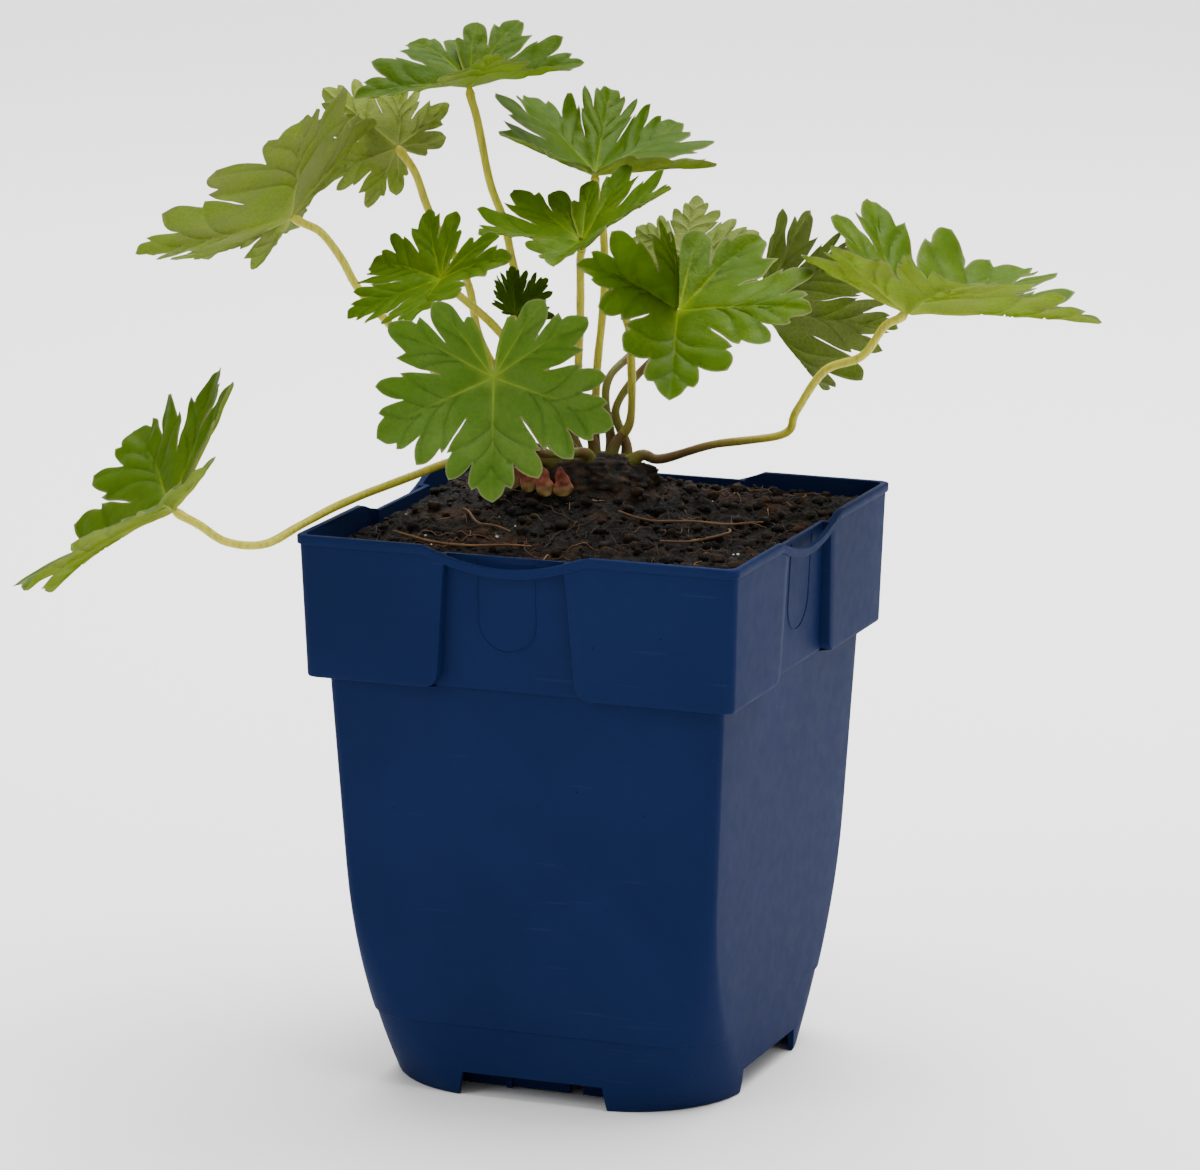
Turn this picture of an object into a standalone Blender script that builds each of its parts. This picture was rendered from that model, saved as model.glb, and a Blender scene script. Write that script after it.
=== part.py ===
"""Hardy geranium (cranesbill) in a square nursery pot: foliage only.

Lengths in this file are millimetres and are turned into metres when a mesh is made.
Shapes are drawn round the pot's own axis, with +Z up and the pot's front facing -Y. Every object then
stands at POT_AT, which puts the world origin on the floor under the middle of the whole plant.
"""

from collections import namedtuple
from math import atan2, cos, exp, hypot, pi, radians, sin

import bpy
from mathutils import Matrix, Vector

MM = 0.001

# Pot
POT_AT = Vector((1.9, 9.2, 0.0))
POT_HEIGHT = 129.4
RIM_HALF = 52.5
COLLAR_FOOT_HALF = 50.9
COLLAR_HEIGHT = 32.8
BODY_TOP_HALF = 47.1
FOOT_HALF = 41.9
WALL = 1.1
LEDGE_SLOPE = 0.4
LIP_HEIGHT = 2.0
LIP_PROUD = 0.5
CORNER_AT_TOP = 2.5
CORNER_AT_FOOT = 27.0
CORNER_FADE = 52.0
COLLAR_CORNER = 2.2
PANEL_SHIFT = -2.4
PANEL_HALF_TOP = 14.0
PANEL_HALF_FOOT = 16.5
PANEL_SLOPE = 0.8
PANEL_PROUD = 1.1
BRIDGE_HALF = 19.0
BRIDGE_SAG = 4.2
BRIDGE_HEIGHT = 1.9
BRIDGE_DEPTH = 1.3
BASE_TOP = 8.6
BASE_PLATE = 1.6
SKIRT_WALL = 1.6
NOTCH_HALF = 18.2
NOTCH_HEIGHT = 5.6
RING_HALF = 33.0
RING_CORNER = 14.0
RING_WALL = 1.3
RING_LIFT = 1.2
RING_GAP = 3.2
RING_GAP_END = 9.0
DRAIN_RADIUS = 4.5
DRAIN_OFFSET = 20.0

# Soil and crown
FIT_GAP = 0.55
SOIL_LEVEL = 126.6
CROWN_AT = Vector((-8.0, 16.5, 131.5))
CROWN_REACH = (14.5, 9.5, 7.5)
CROWN_DOME = 0.95
VIEW_TURN = radians(21.25)
MOUND_RISE = 7.0
MOUND_SPREAD = 19.0
POCKET_GAP = 0.5

# Leaves and stalks
BLADE_THICKNESS = 0.8
STALK_RADIUS = 1.15
STALK_FOOT_RADIUS = 1.35
STALK_SIDES = 6
STALK_GAP = 0.35
STALK_SINK = 0.25
TURN_IN_SHARE = 0.25
TURN_IN_DROP = 2.8

# Rim of half a blade as (angle from the middle lobe, reach), where 1 is the middle lobe's length.
HALF_BLADE = (
    (0, 1.0), (9.5, 0.915), (12.4, 0.71), (22.5, 0.895), (28.5, 0.76), (31.5, 0.58), (32.3, 0.405),
    (33.4, 0.58), (36.0, 0.78), (39.7, 0.93), (50.2, 0.73), (53.0, 0.94), (62.2, 1.04), (71.4, 0.94),
    (74.2, 0.73), (84.0, 0.92), (90.3, 0.74), (91.8, 0.43), (95.5, 0.60), (100.4, 0.785), (105.0, 0.72),
    (112.5, 0.90), (116.3, 0.92), (121.5, 0.83), (124.4, 0.70), (126.0, 0.47), (131.0, 0.62),
    (139.9, 0.755), (150.5, 0.65), (153.0, 0.49), (162.5, 0.49), (168.0, 0.24),
)
INNER_RINGS = (0.55,)
LOBE_ANGLES = (-140, -114, -62, 0, 62, 114, 140)
FOLD = 0.12

# hub: where the stalk joins. size: length of the middle lobe. head, tilt, roll: the way the middle lobe
# points. The last three rows give each lobe's rise, curl and sideways turn in degrees, right to left.
Leaf = namedtuple("Leaf", "hub size head tilt roll rise curl turn")
LEAVES = {
    "front_low": Leaf((-9, -41, 166), 29, -64, -74, 7,
        (24, 20, 18, 19, 26), (-5, -8, -9, -9, -8), (-1, 0, -1, 3, 2)),
    "far_right": Leaf((65, 25, 175), 44, 12, -6, -12,
        (18, 13, 9, 16, 35), (-8, -10, -10, 4, 7), (5, -6, 2, -3, 2)),
    "top": Leaf((-38, 16, 222), 26, -61, -26, -3,
        (19, 4, 48, 22, 24), (-51, -23, 3, -6, -23), (-33, -26, 6, 22, 30)),
    "upper_back_left": Leaf((-53, 9, 208), 24, 215, 41, 94,
        (47, 46, 39, 51, 42), (-7, 3, 1, 3, -14), (-3, -6, 2, 10, -3)),
    "upper_left": Leaf((-69, -16, 195), 36, -108, -15, 52,
        (12, 26, 27, 4, 15), (0, 1, 5, -1, -13), (7, -34, -29, 10, 48)),
    "upper_mid": Leaf((-11, 26, 202), 32, 117, -2, 21,
        (26, 30, 34, 18, 3), (-4, -2, 0, -4, 2), (-1, 25, 0, -28, 4)),
    "bright_mid": Leaf((-5, 2, 190), 26, -70, -2, 9,
        (29, 21, 7, 26, 33), (-3, -7, -12, -4, -1), (-21, 5, -13, 3, 26)),
    "mid_left": Leaf((-29, -23, 184), 23, -149, -43, -24,
        (14, 11, 20, 30, 13), (-16, -19, -10, -6, -19), (2, -4, -16, -3, 20)),
    "bright_right": Leaf((21, -5, 177), 34, -63, -44, 1,
        (88, 54, 30, 37, -4), (-21, -17, -25, -14, -7), (3, -16, -9, 1, 22)),
    "back_right": Leaf((23, 46, 170), 32, -21, -45, -50,
        (34, 39, 43, 9, 15), (-2, -2, 5, 7, -3), (14, -7, -7, -2, 0)),
    "back_mid": Leaf((-3, 62, 178), 24, -88, 114, 9,
        (25, 43, 42, 43, 25), (-4, 3, -2, 0, -5), (0, 5, -3, -9, 0)),
    "far_left": Leaf((-77, -64, 136), 42, -183, -34, -12,
        (26, 22, 8, 15, 13), (0, -2, -19, -12, -10), (4, -3, -6, 0, 1)),
    "young": Leaf((-22, 4, 172), 11, -61, 134, 179,
        (24, 40, 30, 54, 47), (-4, 3, -1, 10, 6), (0, 3, 2, 0, -4)),
}

# Path of each stalk, from just below its blade down towards the crown.
STALKS = {
    "front_low": (((-8, -34, 160), (-10, -23, 152), (-13, -4, 142)), (-1.2, -3.8)),
    "far_right": (((60, 24, 171), (55, 23, 164), (46, 23, 160), (39, 24, 150), (35, 26, 144),
        (19, 23, 141), (7, 22, 137)), (9.5, -0.5)),
    "top": (((-36, 16, 214), (-33, 16, 200), (-30, 17, 191), (-28, 20, 177), (-21, 22, 154)), (-3.5, 4.8)),
    "upper_back_left": (((-48, 8, 202), (-45, 10, 192), (-38, 14, 177), (-35, 15, 163),
        (-26, 17, 147)), (-7.5, 4.0)),
    "upper_left": (((-62, -14, 191), (-58, -12, 185), (-54, -10, 177), (-44, -6, 165), (-30, 3, 148)),
        (-10.0, 0.8)),
    "upper_mid": (((-9, 26, 189), (-8, 24, 174), (-9, 22, 157)), (0.5, 5.2)),
    "bright_mid": (((-6, 4, 185), (-8, 9, 172), (-10, 13, 151)), (0.4, 1.4)),
    "mid_left": (((-28, -17, 180), (-22, -5, 169), (-15, 6, 152)), (-5.4, -2.9)),
    "bright_right": (((12, 0, 177), (2, 8, 177), (2, 14, 168), (1, 18, 159), (0, 20, 146)), (4.6, 0.6)),
    "back_right": (((10, 38, 165), (1, 31, 158), (-5, 24, 148)), (7.8, 3.4)),
    "back_mid": (((1, 49, 165), (-6, 36, 158), (-9, 28, 152)), (4.2, 4.6)),
    "far_left": (((-71, -62, 132), (-66, -59, 128), (-59, -54, 127), (-54, -45, 130), (-49, -33, 133),
        (-41, -16, 136), (-31, 0, 139)), (-9.2, -3.4)),
    "young": (((-22, 6, 168), (-21, 9, 156), (-17, 12, 146)), (-4.0, 0.9)),
}

# Scales round the crown: sideways and depth offset, lean to the side, length
BUD_SCALES = (
    (-17.4, -2.5, -28, 9.0), (-13.6, -8.6, -22, 8.0), (-6.5, -11.8, -6, 7.0), (-10.4, -11.4, -14, 8.5),
)
SCALE_HALF_WIDE = 1.9
SCALE_HALF_DEEP = 1.3
SCALE_LIFT = 0.75
SCALE_TAPER = ((0.0, 0.5), (0.2, 1.0), (0.5, 0.9), (0.8, 0.5), (1.0, 0.12))

# Loose roots on the soil, as points seen from above
SURFACE_ROOTS = {
    "surface_root_1": ((6, -3), (16, -4), (28, 0), (38, 5)),
    "surface_root_2": ((24, -24), (31, -17), (35, -10), (33, -4)),
    "surface_root_3": ((-38, -30), (-27, -37), (-14, -39), (-2, -36)),
    "surface_root_4": ((-30, -8), (-22, -18), (-12, -24)),
}
ROOT_RADIUS = 0.45
ROOT_LIFT = 0.7

COLOURS = {
    "pot": ((0.012, 0.030, 0.085, 1), 0.42),
    "soil": ((0.020, 0.012, 0.008, 1), 0.95),
    "crown": ((0.050, 0.030, 0.016, 1), 0.80),
    "scale": ((0.220, 0.050, 0.025, 1), 0.60),
    "stalk": ((0.260, 0.270, 0.060, 1), 0.50),
    "leaf": ((0.070, 0.190, 0.020, 1), 0.50),
    "root": ((0.240, 0.130, 0.055, 1), 0.80),
}


def clear_scene():
    for obj in list(bpy.data.objects):
        bpy.data.objects.remove(obj, do_unlink=True)


def material(kind):
    found = bpy.data.materials.get(kind)
    if found:
        return found
    made = bpy.data.materials.new(kind)
    made.use_nodes = True
    shader = made.node_tree.nodes["Principled BSDF"]
    colour, roughness = COLOURS[kind]
    shader.inputs["Base Color"].default_value = colour
    shader.inputs["Roughness"].default_value = roughness
    shader.inputs["Metallic"].default_value = 0.0
    return made


def make_object(name, points, faces, kind, smooth=True):
    mesh = bpy.data.meshes.new(name)
    mesh.from_pydata([Vector(p) * MM for p in points], [], faces)
    mesh.validate()
    mesh.materials.append(material(kind))
    for face in mesh.polygons:
        face.use_smooth = smooth
    obj = bpy.data.objects.new(name, mesh)
    obj.location = POT_AT * MM
    bpy.context.scene.collection.objects.link(obj)
    return obj


def loft(rings):
    """Closed skin over rings that share a point count, with a cap at each end."""
    count = len(rings[0])
    points = [p for ring in rings for p in ring]
    faces = [tuple(reversed(range(count)))]
    for k in range(len(rings) - 1):
        low, high = k * count, (k + 1) * count
        for i in range(count):
            j = (i + 1) % count
            faces.append((low + i, low + j, high + j, high + i))
    faces.append(tuple(range((len(rings) - 1) * count, len(rings) * count)))
    return points, faces


def use_boolean(obj, cutter, operation):
    step = obj.modifiers.new(cutter.name, "BOOLEAN")
    step.operation = operation
    step.solver = "EXACT"
    step.object = cutter
    cutter.hide_render = True
    cutter.display_type = "WIRE"


def box(name, low, high):
    outline = ((low[0], low[1]), (high[0], low[1]), (high[0], high[1]), (low[0], high[1]))
    corners = [(x, y, z) for z in (low[2], high[2]) for x, y in outline]
    faces = [(3, 2, 1, 0), (4, 5, 6, 7), (0, 1, 5, 4), (1, 2, 6, 5), (2, 3, 7, 6), (3, 0, 4, 7)]
    return make_object(name, corners, faces, "pot", smooth=False)


def quarter_turns(obj):
    """The piece and three more, one for each side of the pot."""
    pieces = [obj]
    for quarter in (1, 2, 3):
        twin = bpy.data.objects.new(f"{obj.name}_{quarter}", obj.data)
        twin.location = obj.location
        twin.rotation_euler.z = quarter * pi / 2
        bpy.context.scene.collection.objects.link(twin)
        pieces.append(twin)
    return pieces


def section(half, corner, z, panel_half, panel_depth):
    """One level of the wall: a rounded square with a shallow panel let into each side."""
    ring = []
    panel_half = min(panel_half, half - corner + PANEL_SHIFT - PANEL_SLOPE - 0.4)
    for side in range(4):
        turn = Matrix.Rotation(side * pi / 2, 3, "Z")
        outline = []
        for step in range(5):
            angle = pi + step * pi / 8
            outline.append((-(half - corner) + corner * cos(angle), -(half - corner) + corner * sin(angle)))
        left, right = PANEL_SHIFT - panel_half, PANEL_SHIFT + panel_half
        outline.append((left - PANEL_SLOPE, -half))
        outline.append((left, -half + panel_depth))
        outline.append((PANEL_SHIFT, -half + panel_depth))
        outline.append((right, -half + panel_depth))
        outline.append((right + PANEL_SLOPE, -half))
        ring.extend(turn @ Vector((x, y, z)) for x, y in outline)
    return ring


def body_half(z):
    return FOOT_HALF + (BODY_TOP_HALF - FOOT_HALF) * z / (POT_HEIGHT - COLLAR_HEIGHT)


def body_corner(z):
    fullness = max(0.0, 1.0 - z / CORNER_FADE)
    return CORNER_AT_TOP + (CORNER_AT_FOOT - CORNER_AT_TOP) * fullness ** 2


def pot_outline(inset):
    """Levels of the wall from the bottom up, moved in by the wall when inset is set."""
    levels = []
    ledge = POT_HEIGHT - COLLAR_HEIGHT + inset
    for z in (0.0, 3.0, BASE_TOP, 13.0, 18.0, 24.0, 32.0, 42.0, 60.0, ledge):
        if inset and z < BASE_TOP:
            continue
        corner = max(1.0, body_corner(z) - inset)
        levels.append(section(body_half(z) - inset, corner, z, PANEL_HALF_FOOT, 0.0))
    lip = POT_HEIGHT - LIP_HEIGHT
    for z, share in ((ledge + LEDGE_SLOPE, 0.0), (lip, 0.94), (lip + 0.3, 0.95), (POT_HEIGHT, 1.0)):
        half = COLLAR_FOOT_HALF + (RIM_HALF - LIP_PROUD - COLLAR_FOOT_HALF) * share
        proud = LIP_PROUD if share > 0.94 and not inset else 0.0
        panel = PANEL_HALF_FOOT + (PANEL_HALF_TOP - PANEL_HALF_FOOT) * share
        depth = half + proud - body_half(z) - PANEL_PROUD
        levels.append(section(half + proud - inset, COLLAR_CORNER, z, panel + inset, depth))
    return levels


def bridge():
    """Thin strap that dips across the panel at the rim, standing off from the panel."""
    rings = []
    for step in range(13):
        share = step / 12
        x = PANEL_SHIFT + BRIDGE_HALF * (2 * share - 1)
        dip = BRIDGE_SAG * sin(pi * min(1.0, max(0.0, (share - 0.08) / 0.84))) ** 0.8
        top = POT_HEIGHT - 0.05 - dip
        foot = top - BRIDGE_HEIGHT
        front, back = -RIM_HALF + 0.05, -RIM_HALF + BRIDGE_DEPTH
        rings.append([(x, front, foot), (x, back, foot), (x, back, top), (x, front, top)])
    points, faces = loft(rings)
    return make_object("bridge_strap", points, faces, "pot", smooth=False)


def foot_ring():
    """Low wall under the pot's floor, behind the foot notches."""
    levels = (RING_LIFT, BASE_TOP - 0.6)
    outer = [section(RING_HALF, RING_CORNER, z, PANEL_HALF_FOOT, 0.0) for z in levels]
    inner_half, inner_corner = RING_HALF - RING_WALL, RING_CORNER - RING_WALL
    inner = [section(inner_half, inner_corner, z, PANEL_HALF_FOOT, 0.0) for z in reversed(levels)]
    points, faces = loft(outer + inner)
    count = len(outer[0])
    last = 3 * count
    faces = faces[1:-1] + [(last + i, last + (i + 1) % count, (i + 1) % count, i) for i in range(count)]
    return make_object("foot_ring", points, faces, "pot")


def drain_hole(name, x, y):
    rings = []
    for z in (BASE_TOP - BASE_PLATE - 1, BASE_TOP + 1):
        turns = [a * pi / 6 for a in range(12)]
        rings.append([(x + DRAIN_RADIUS * cos(a), y + DRAIN_RADIUS * sin(a), z) for a in turns])
    points, faces = loft(rings)
    return make_object(name, points, faces, "pot")


def build_pot():
    outside = pot_outline(0.0)
    inside = pot_outline(WALL)
    points, faces = loft(outside + inside[::-1])
    pot = make_object("pot", points, faces, "pot", smooth=False)
    plate_foot = BASE_TOP - BASE_PLATE
    hollow = section(FOOT_HALF - SKIRT_WALL, CORNER_AT_FOOT - 2, -1.0, PANEL_HALF_FOOT, 0.0)
    hollow_top = section(FOOT_HALF - SKIRT_WALL + 0.4, CORNER_AT_FOOT - 2, plate_foot, PANEL_HALF_FOOT, 0.0)
    points, faces = loft([hollow, hollow_top])
    use_boolean(pot, make_object("cut_under_base", points, faces, "pot"), "DIFFERENCE")
    use_boolean(pot, foot_ring(), "UNION")
    notch = box("cut_notch", (-NOTCH_HALF, -FOOT_HALF - 3, -1), (NOTCH_HALF, -FOOT_HALF + 4, NOTCH_HEIGHT))
    slot = box("cut_slot", (RING_GAP_END - RING_GAP, -RING_HALF - 2, -1),
               (RING_GAP_END, -RING_HALF + 4, plate_foot - 0.2))
    for piece in quarter_turns(notch) + quarter_turns(slot):
        use_boolean(pot, piece, "DIFFERENCE")
    for piece in quarter_turns(bridge()):
        use_boolean(pot, piece, "UNION")
    for k, (x, y) in enumerate(((0, 0), (1, 1), (-1, 1), (-1, -1), (1, -1))):
        hole = drain_hole(f"cut_drain_{k}", x * DRAIN_OFFSET, y * DRAIN_OFFSET)
        use_boolean(pot, hole, "DIFFERENCE")


def to_crown(x, y):
    """Sideways and depth distance from the crown, along its own long and short way."""
    dx, dy = x - CROWN_AT.x, y - CROWN_AT.y
    return dx * cos(VIEW_TURN) + dy * sin(VIEW_TURN), dy * cos(VIEW_TURN) - dx * sin(VIEW_TURN)


def from_crown(side, depth):
    return (CROWN_AT.x + side * cos(VIEW_TURN) - depth * sin(VIEW_TURN),
            CROWN_AT.y + side * sin(VIEW_TURN) + depth * cos(VIEW_TURN))


def soil_height(x, y):
    side, depth = to_crown(x, y)
    mound = MOUND_RISE * exp(-(hypot(side * 0.75, depth) / MOUND_SPREAD) ** 2)
    clods = 0.5 * sin(x * 0.31 + 1.0) * cos(y * 0.27) + 0.3 * sin(x * 0.13 - y * 0.41)
    edge = max(abs(x), abs(y)) / RIM_HALF
    sunk = 1.6 * max(0.0, -(x + y) / 90.0) * edge
    return SOIL_LEVEL + mound + clods * (1.0 - 0.5 * edge) - sunk


def crown_angles():
    """Directions from the crown to the wall's points, which the crown and its pocket share."""
    found = []
    for p in pot_outline(WALL + FIT_GAP)[-2]:
        side, depth = to_crown(p.x, p.y)
        found.append(atan2(depth / CROWN_REACH[1], side / CROWN_REACH[0]))
    return found


def oval(angles, reach, grow, z=None):
    """Ring of points round the crown's axis; with no height given it lies on the soil."""
    ring = []
    for angle in angles:
        side = (CROWN_REACH[0] + grow) * reach * cos(angle)
        depth = (CROWN_REACH[1] + grow) * reach * sin(angle)
        x, y = from_crown(side, depth)
        ring.append(Vector((x, y, soil_height(x, y) if z is None else z)))
    return ring


def build_soil():
    inset = WALL + FIT_GAP
    walls = [ring for ring in pot_outline(inset) if ring[0][2] < SOIL_LEVEL - 3.0]
    for ring in walls[:1]:
        for point in ring:
            point.z = BASE_TOP + FIT_GAP
    rim = [Vector((p.x, p.y, soil_height(p.x, p.y))) for p in pot_outline(inset)[-2]]
    rings = walls + [rim]
    angles = crown_angles()
    mouth = oval(angles, 1.0, POCKET_GAP)
    for share in (0.90, 0.75, 0.55, 0.36, 0.18):
        spots = [near.lerp(far, share) for near, far in zip(mouth, rim)]
        rings.append([Vector((p.x, p.y, soil_height(p.x, p.y))) for p in spots])
    rings.append(mouth)
    for reach, drop in ((1.0, 0.0), (0.84, 0.62), (0.42, 0.95)):
        rings.append(oval(angles, reach, POCKET_GAP, CROWN_AT.z - (CROWN_REACH[2] + POCKET_GAP) * drop))
    points, faces = loft(rings)
    return make_object("potting_soil", points, faces, "soil")


def build_crown():
    angles = crown_angles()
    rings = []
    for level in (-75, -50, -25, 0, 25, 50, 75):
        rise = CROWN_REACH[2] * sin(radians(level)) * CROWN_DOME
        rings.append(oval(angles, cos(radians(level)), 0.0, CROWN_AT.z + rise))
    points, faces = loft(rings)
    make_object("crown", points, faces, "crown")


def smooth_path(points, count):
    """Even points along a rounded path through the given ones."""
    dense = []
    pts = [Vector(p) for p in points]
    ends = [pts[0] * 2 - pts[1]] + pts + [pts[-1] * 2 - pts[-2]]
    for k in range(1, len(ends) - 2):
        a, b, c, d = ends[k - 1:k + 3]
        for step in range(8):
            t = step / 8
            dense.append(0.5 * (2 * b + (c - a) * t + (2 * a - 5 * b + 4 * c - d) * t ** 2
                                + (3 * b - a - 3 * c + d) * t ** 3))
    dense.append(pts[-1])
    lengths = [0.0]
    for first, second in zip(dense, dense[1:]):
        lengths.append(lengths[-1] + (second - first).length)
    path = []
    k = 0
    for step in range(count):
        goal = lengths[-1] * step / (count - 1)
        while k < len(lengths) - 2 and lengths[k + 1] < goal:
            k += 1
        share = (goal - lengths[k]) / (lengths[k + 1] - lengths[k])
        path.append(dense[k].lerp(dense[k + 1], share))
    return path


def tube(name, path, radii, sides, kind):
    rings = []
    across = None
    for k, centre in enumerate(path):
        along = (path[min(k + 1, len(path) - 1)] - path[max(k - 1, 0)]).normalized()
        if across is None:
            across = along.orthogonal().normalized()
        across = (across - along * across.dot(along)).normalized()
        up = along.cross(across)
        rings.append([centre + (across * cos(2 * pi * i / sides) + up * sin(2 * pi * i / sides)) * radii[k]
                      for i in range(sides)])
    points, faces = loft(rings)
    return make_object(name, points, faces, kind)


def lobe_value(angle, values):
    """Value at an angle, eased between the five lobes."""
    knots = (-180, -116, -62, 0, 62, 116, 180)
    spread = (values[0],) + tuple(values) + (values[-1],)
    k = max(i for i in range(6) if angle >= knots[i])
    share = (angle - knots[k]) / (knots[k + 1] - knots[k])
    share = share * share * (3 - 2 * share)
    return spread[k] * (1 - share) + spread[k + 1] * share


def leaf_frame(leaf):
    head, tilt, roll = radians(leaf.head), radians(leaf.tilt), radians(leaf.roll)
    along = Vector((cos(tilt) * cos(head), cos(tilt) * sin(head), sin(tilt)))
    level = Vector((-sin(tilt) * cos(head), -sin(tilt) * sin(head), cos(tilt)))
    across = level.cross(along)
    normal = level * cos(roll) - across * sin(roll)
    return along, normal.cross(along), normal


def blade_point(leaf, angle, reach):
    """Where a point of the flat blade goes once each lobe has risen, curled and turned."""
    along, across, normal = leaf_frame(leaf)
    rise = radians(lobe_value(angle, leaf.rise))
    curl = radians(lobe_value(angle, leaf.curl))
    turn = radians(lobe_value(angle, leaf.turn))
    bend = (curl if abs(curl) > 0.001 else 0.001) / leaf.size
    far = reach * leaf.size
    height = (cos(rise) - cos(rise + bend * far)) / bend
    out = (sin(rise + bend * far) - sin(rise)) / bend
    off_lobe = min(abs((angle - lobe + 180) % 360 - 180) for lobe in LOBE_ANGLES)
    height += FOLD * 2 * far * sin(radians(off_lobe)) * min(1.0, reach)
    way = radians(angle) + turn
    return Vector(leaf.hub) + along * out * cos(way) + across * out * sin(way) + normal * height


def build_leaf(name, leaf):
    right = [(-angle, reach) for angle, reach in reversed(HALF_BLADE[1:])]
    rim = right + list(HALF_BLADE) + [(178, 0.06), (-178, 0.06)]
    count = len(rim)
    flat = [blade_point(leaf, 0, 0)]
    for share in INNER_RINGS:
        flat.extend(blade_point(leaf, angle, reach * share) for angle, reach in rim)
    flat.extend(blade_point(leaf, angle, reach) for angle, reach in rim)
    rows = [list(range(1 + k * count, 1 + (k + 1) * count)) for k in range(len(INNER_RINGS) + 1)]
    top = []
    for i in range(count):
        j = (i + 1) % count
        top.append((0, rows[0][i], rows[0][j]))
        for low, high in zip(rows, rows[1:]):
            top.append((low[i], high[i], high[j]))
            top.append((low[i], high[j], low[j]))
    normals = [Vector() for _ in flat]
    for a, b, c in top:
        facing = (flat[b] - flat[a]).cross(flat[c] - flat[a])
        for corner in (a, b, c):
            normals[corner] += facing
    half = BLADE_THICKNESS / 2
    upper = [p + n.normalized() * half for p, n in zip(flat, normals)]
    lower = [p - n.normalized() * half for p, n in zip(flat, normals)]
    shift = len(flat)
    faces = top + [(c + shift, b + shift, a + shift) for a, b, c in top]
    edge = rows[-1]
    for i in range(count):
        j = (i + 1) % count
        faces.append((edge[j], edge[i], edge[i] + shift, edge[j] + shift))
    make_object(name, upper + lower, faces, "leaf")


def crown_surface(side, depth):
    """The crown's top over a given spot, and the way it faces there."""
    a, b, c = CROWN_REACH
    rise = (1 - (side / a) ** 2 - (depth / b) ** 2) ** 0.5
    x, y = from_crown(side, depth)
    facing_x, facing_y = from_crown(side / a ** 2, depth / b ** 2)
    facing = Vector((facing_x - CROWN_AT.x, facing_y - CROWN_AT.y, rise / c))
    return Vector((x, y, CROWN_AT.z + c * CROWN_DOME * rise)), facing.normalized()


def build_stalk(name, leaf, points, foot):
    normal = leaf_frame(leaf)[2]
    hub = Vector(leaf.hub)
    joint = hub - normal * (BLADE_THICKNESS / 2 + STALK_GAP + STALK_SINK)
    socket, facing = crown_surface(*foot)
    start = socket + facing * STALK_GAP
    turn_in = hub.lerp(Vector(points[0]), TURN_IN_SHARE) - normal * TURN_IN_DROP
    path = [joint, turn_in] + list(points) + [start + facing * 4.0, start]
    count = max(10, int(len(points) * 2 + 6))
    path = smooth_path(path, count)
    radii = []
    for k in range(count):
        share = k / (count - 1)
        swell = (STALK_FOOT_RADIUS - STALK_RADIUS) * share ** 4
        radii.append(STALK_RADIUS * (0.95 + 0.15 * cos(share * 9.0)) + swell)
    tube(name, path, radii, STALK_SIDES, "stalk")


def build_scale(name, side, depth, lean, length):
    x, y = from_crown(side, depth)
    height = soil_height(x, y) + SCALE_LIFT
    tilt = Matrix.Rotation(VIEW_TURN, 3, "Z") @ Matrix.Rotation(radians(lean), 3, "Y")
    rings = []
    for level, width in SCALE_TAPER:
        ring = []
        for step in range(8):
            angle = step * pi / 4
            across, out = SCALE_HALF_WIDE * cos(angle), SCALE_HALF_DEEP * sin(angle)
            spot = Vector((width * across, width * out, length * level))
            ring.append(Vector((x, y, height)) + tilt @ spot)
        rings.append(ring)
    points, faces = loft(rings)
    make_object(name, points, faces, "scale")


def build_root(name, spots):
    level = [Vector((x, y, 0)) for x, y in spots]
    path = smooth_path(level, 12)
    for p in path:
        p.z = soil_height(p.x, p.y) + ROOT_RADIUS + ROOT_LIFT
    tube(name, path, [ROOT_RADIUS] * 12, 5, "root")


def main():
    clear_scene()
    build_pot()
    build_soil()
    build_crown()
    for name, leaf in LEAVES.items():
        build_leaf(f"leaf_{name}", leaf)
        points, foot = STALKS[name]
        build_stalk(f"petiole_{name}", leaf, points, foot)
    for k, row in enumerate(BUD_SCALES):
        build_scale(f"bud_scale_{k + 1}", *row)
    for name, spots in SURFACE_ROOTS.items():
        build_root(name, spots)


main()
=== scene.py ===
# %% [markdown]
# # A hardy geranium in its nursery pot
# A cranesbill is a clump of lobed leaves on thin stalks that all rise from one woody crown. Here it stands
# in a square moulded pot filled with peat. The solid model already holds every piece at its true size and
# place, so this lesson leaves sizes alone and makes each piece look grown or moulded: fine leaf teeth and
# veins, crumbly peat, rounded plastic edges. The solid model is loaded first.

# %% Load the solid model
from collections import namedtuple
from math import cos, exp, hypot, pi, radians, sin

import bmesh
import bpy
import numpy as np
from mathutils import Matrix, Vector, geometry, noise


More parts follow.
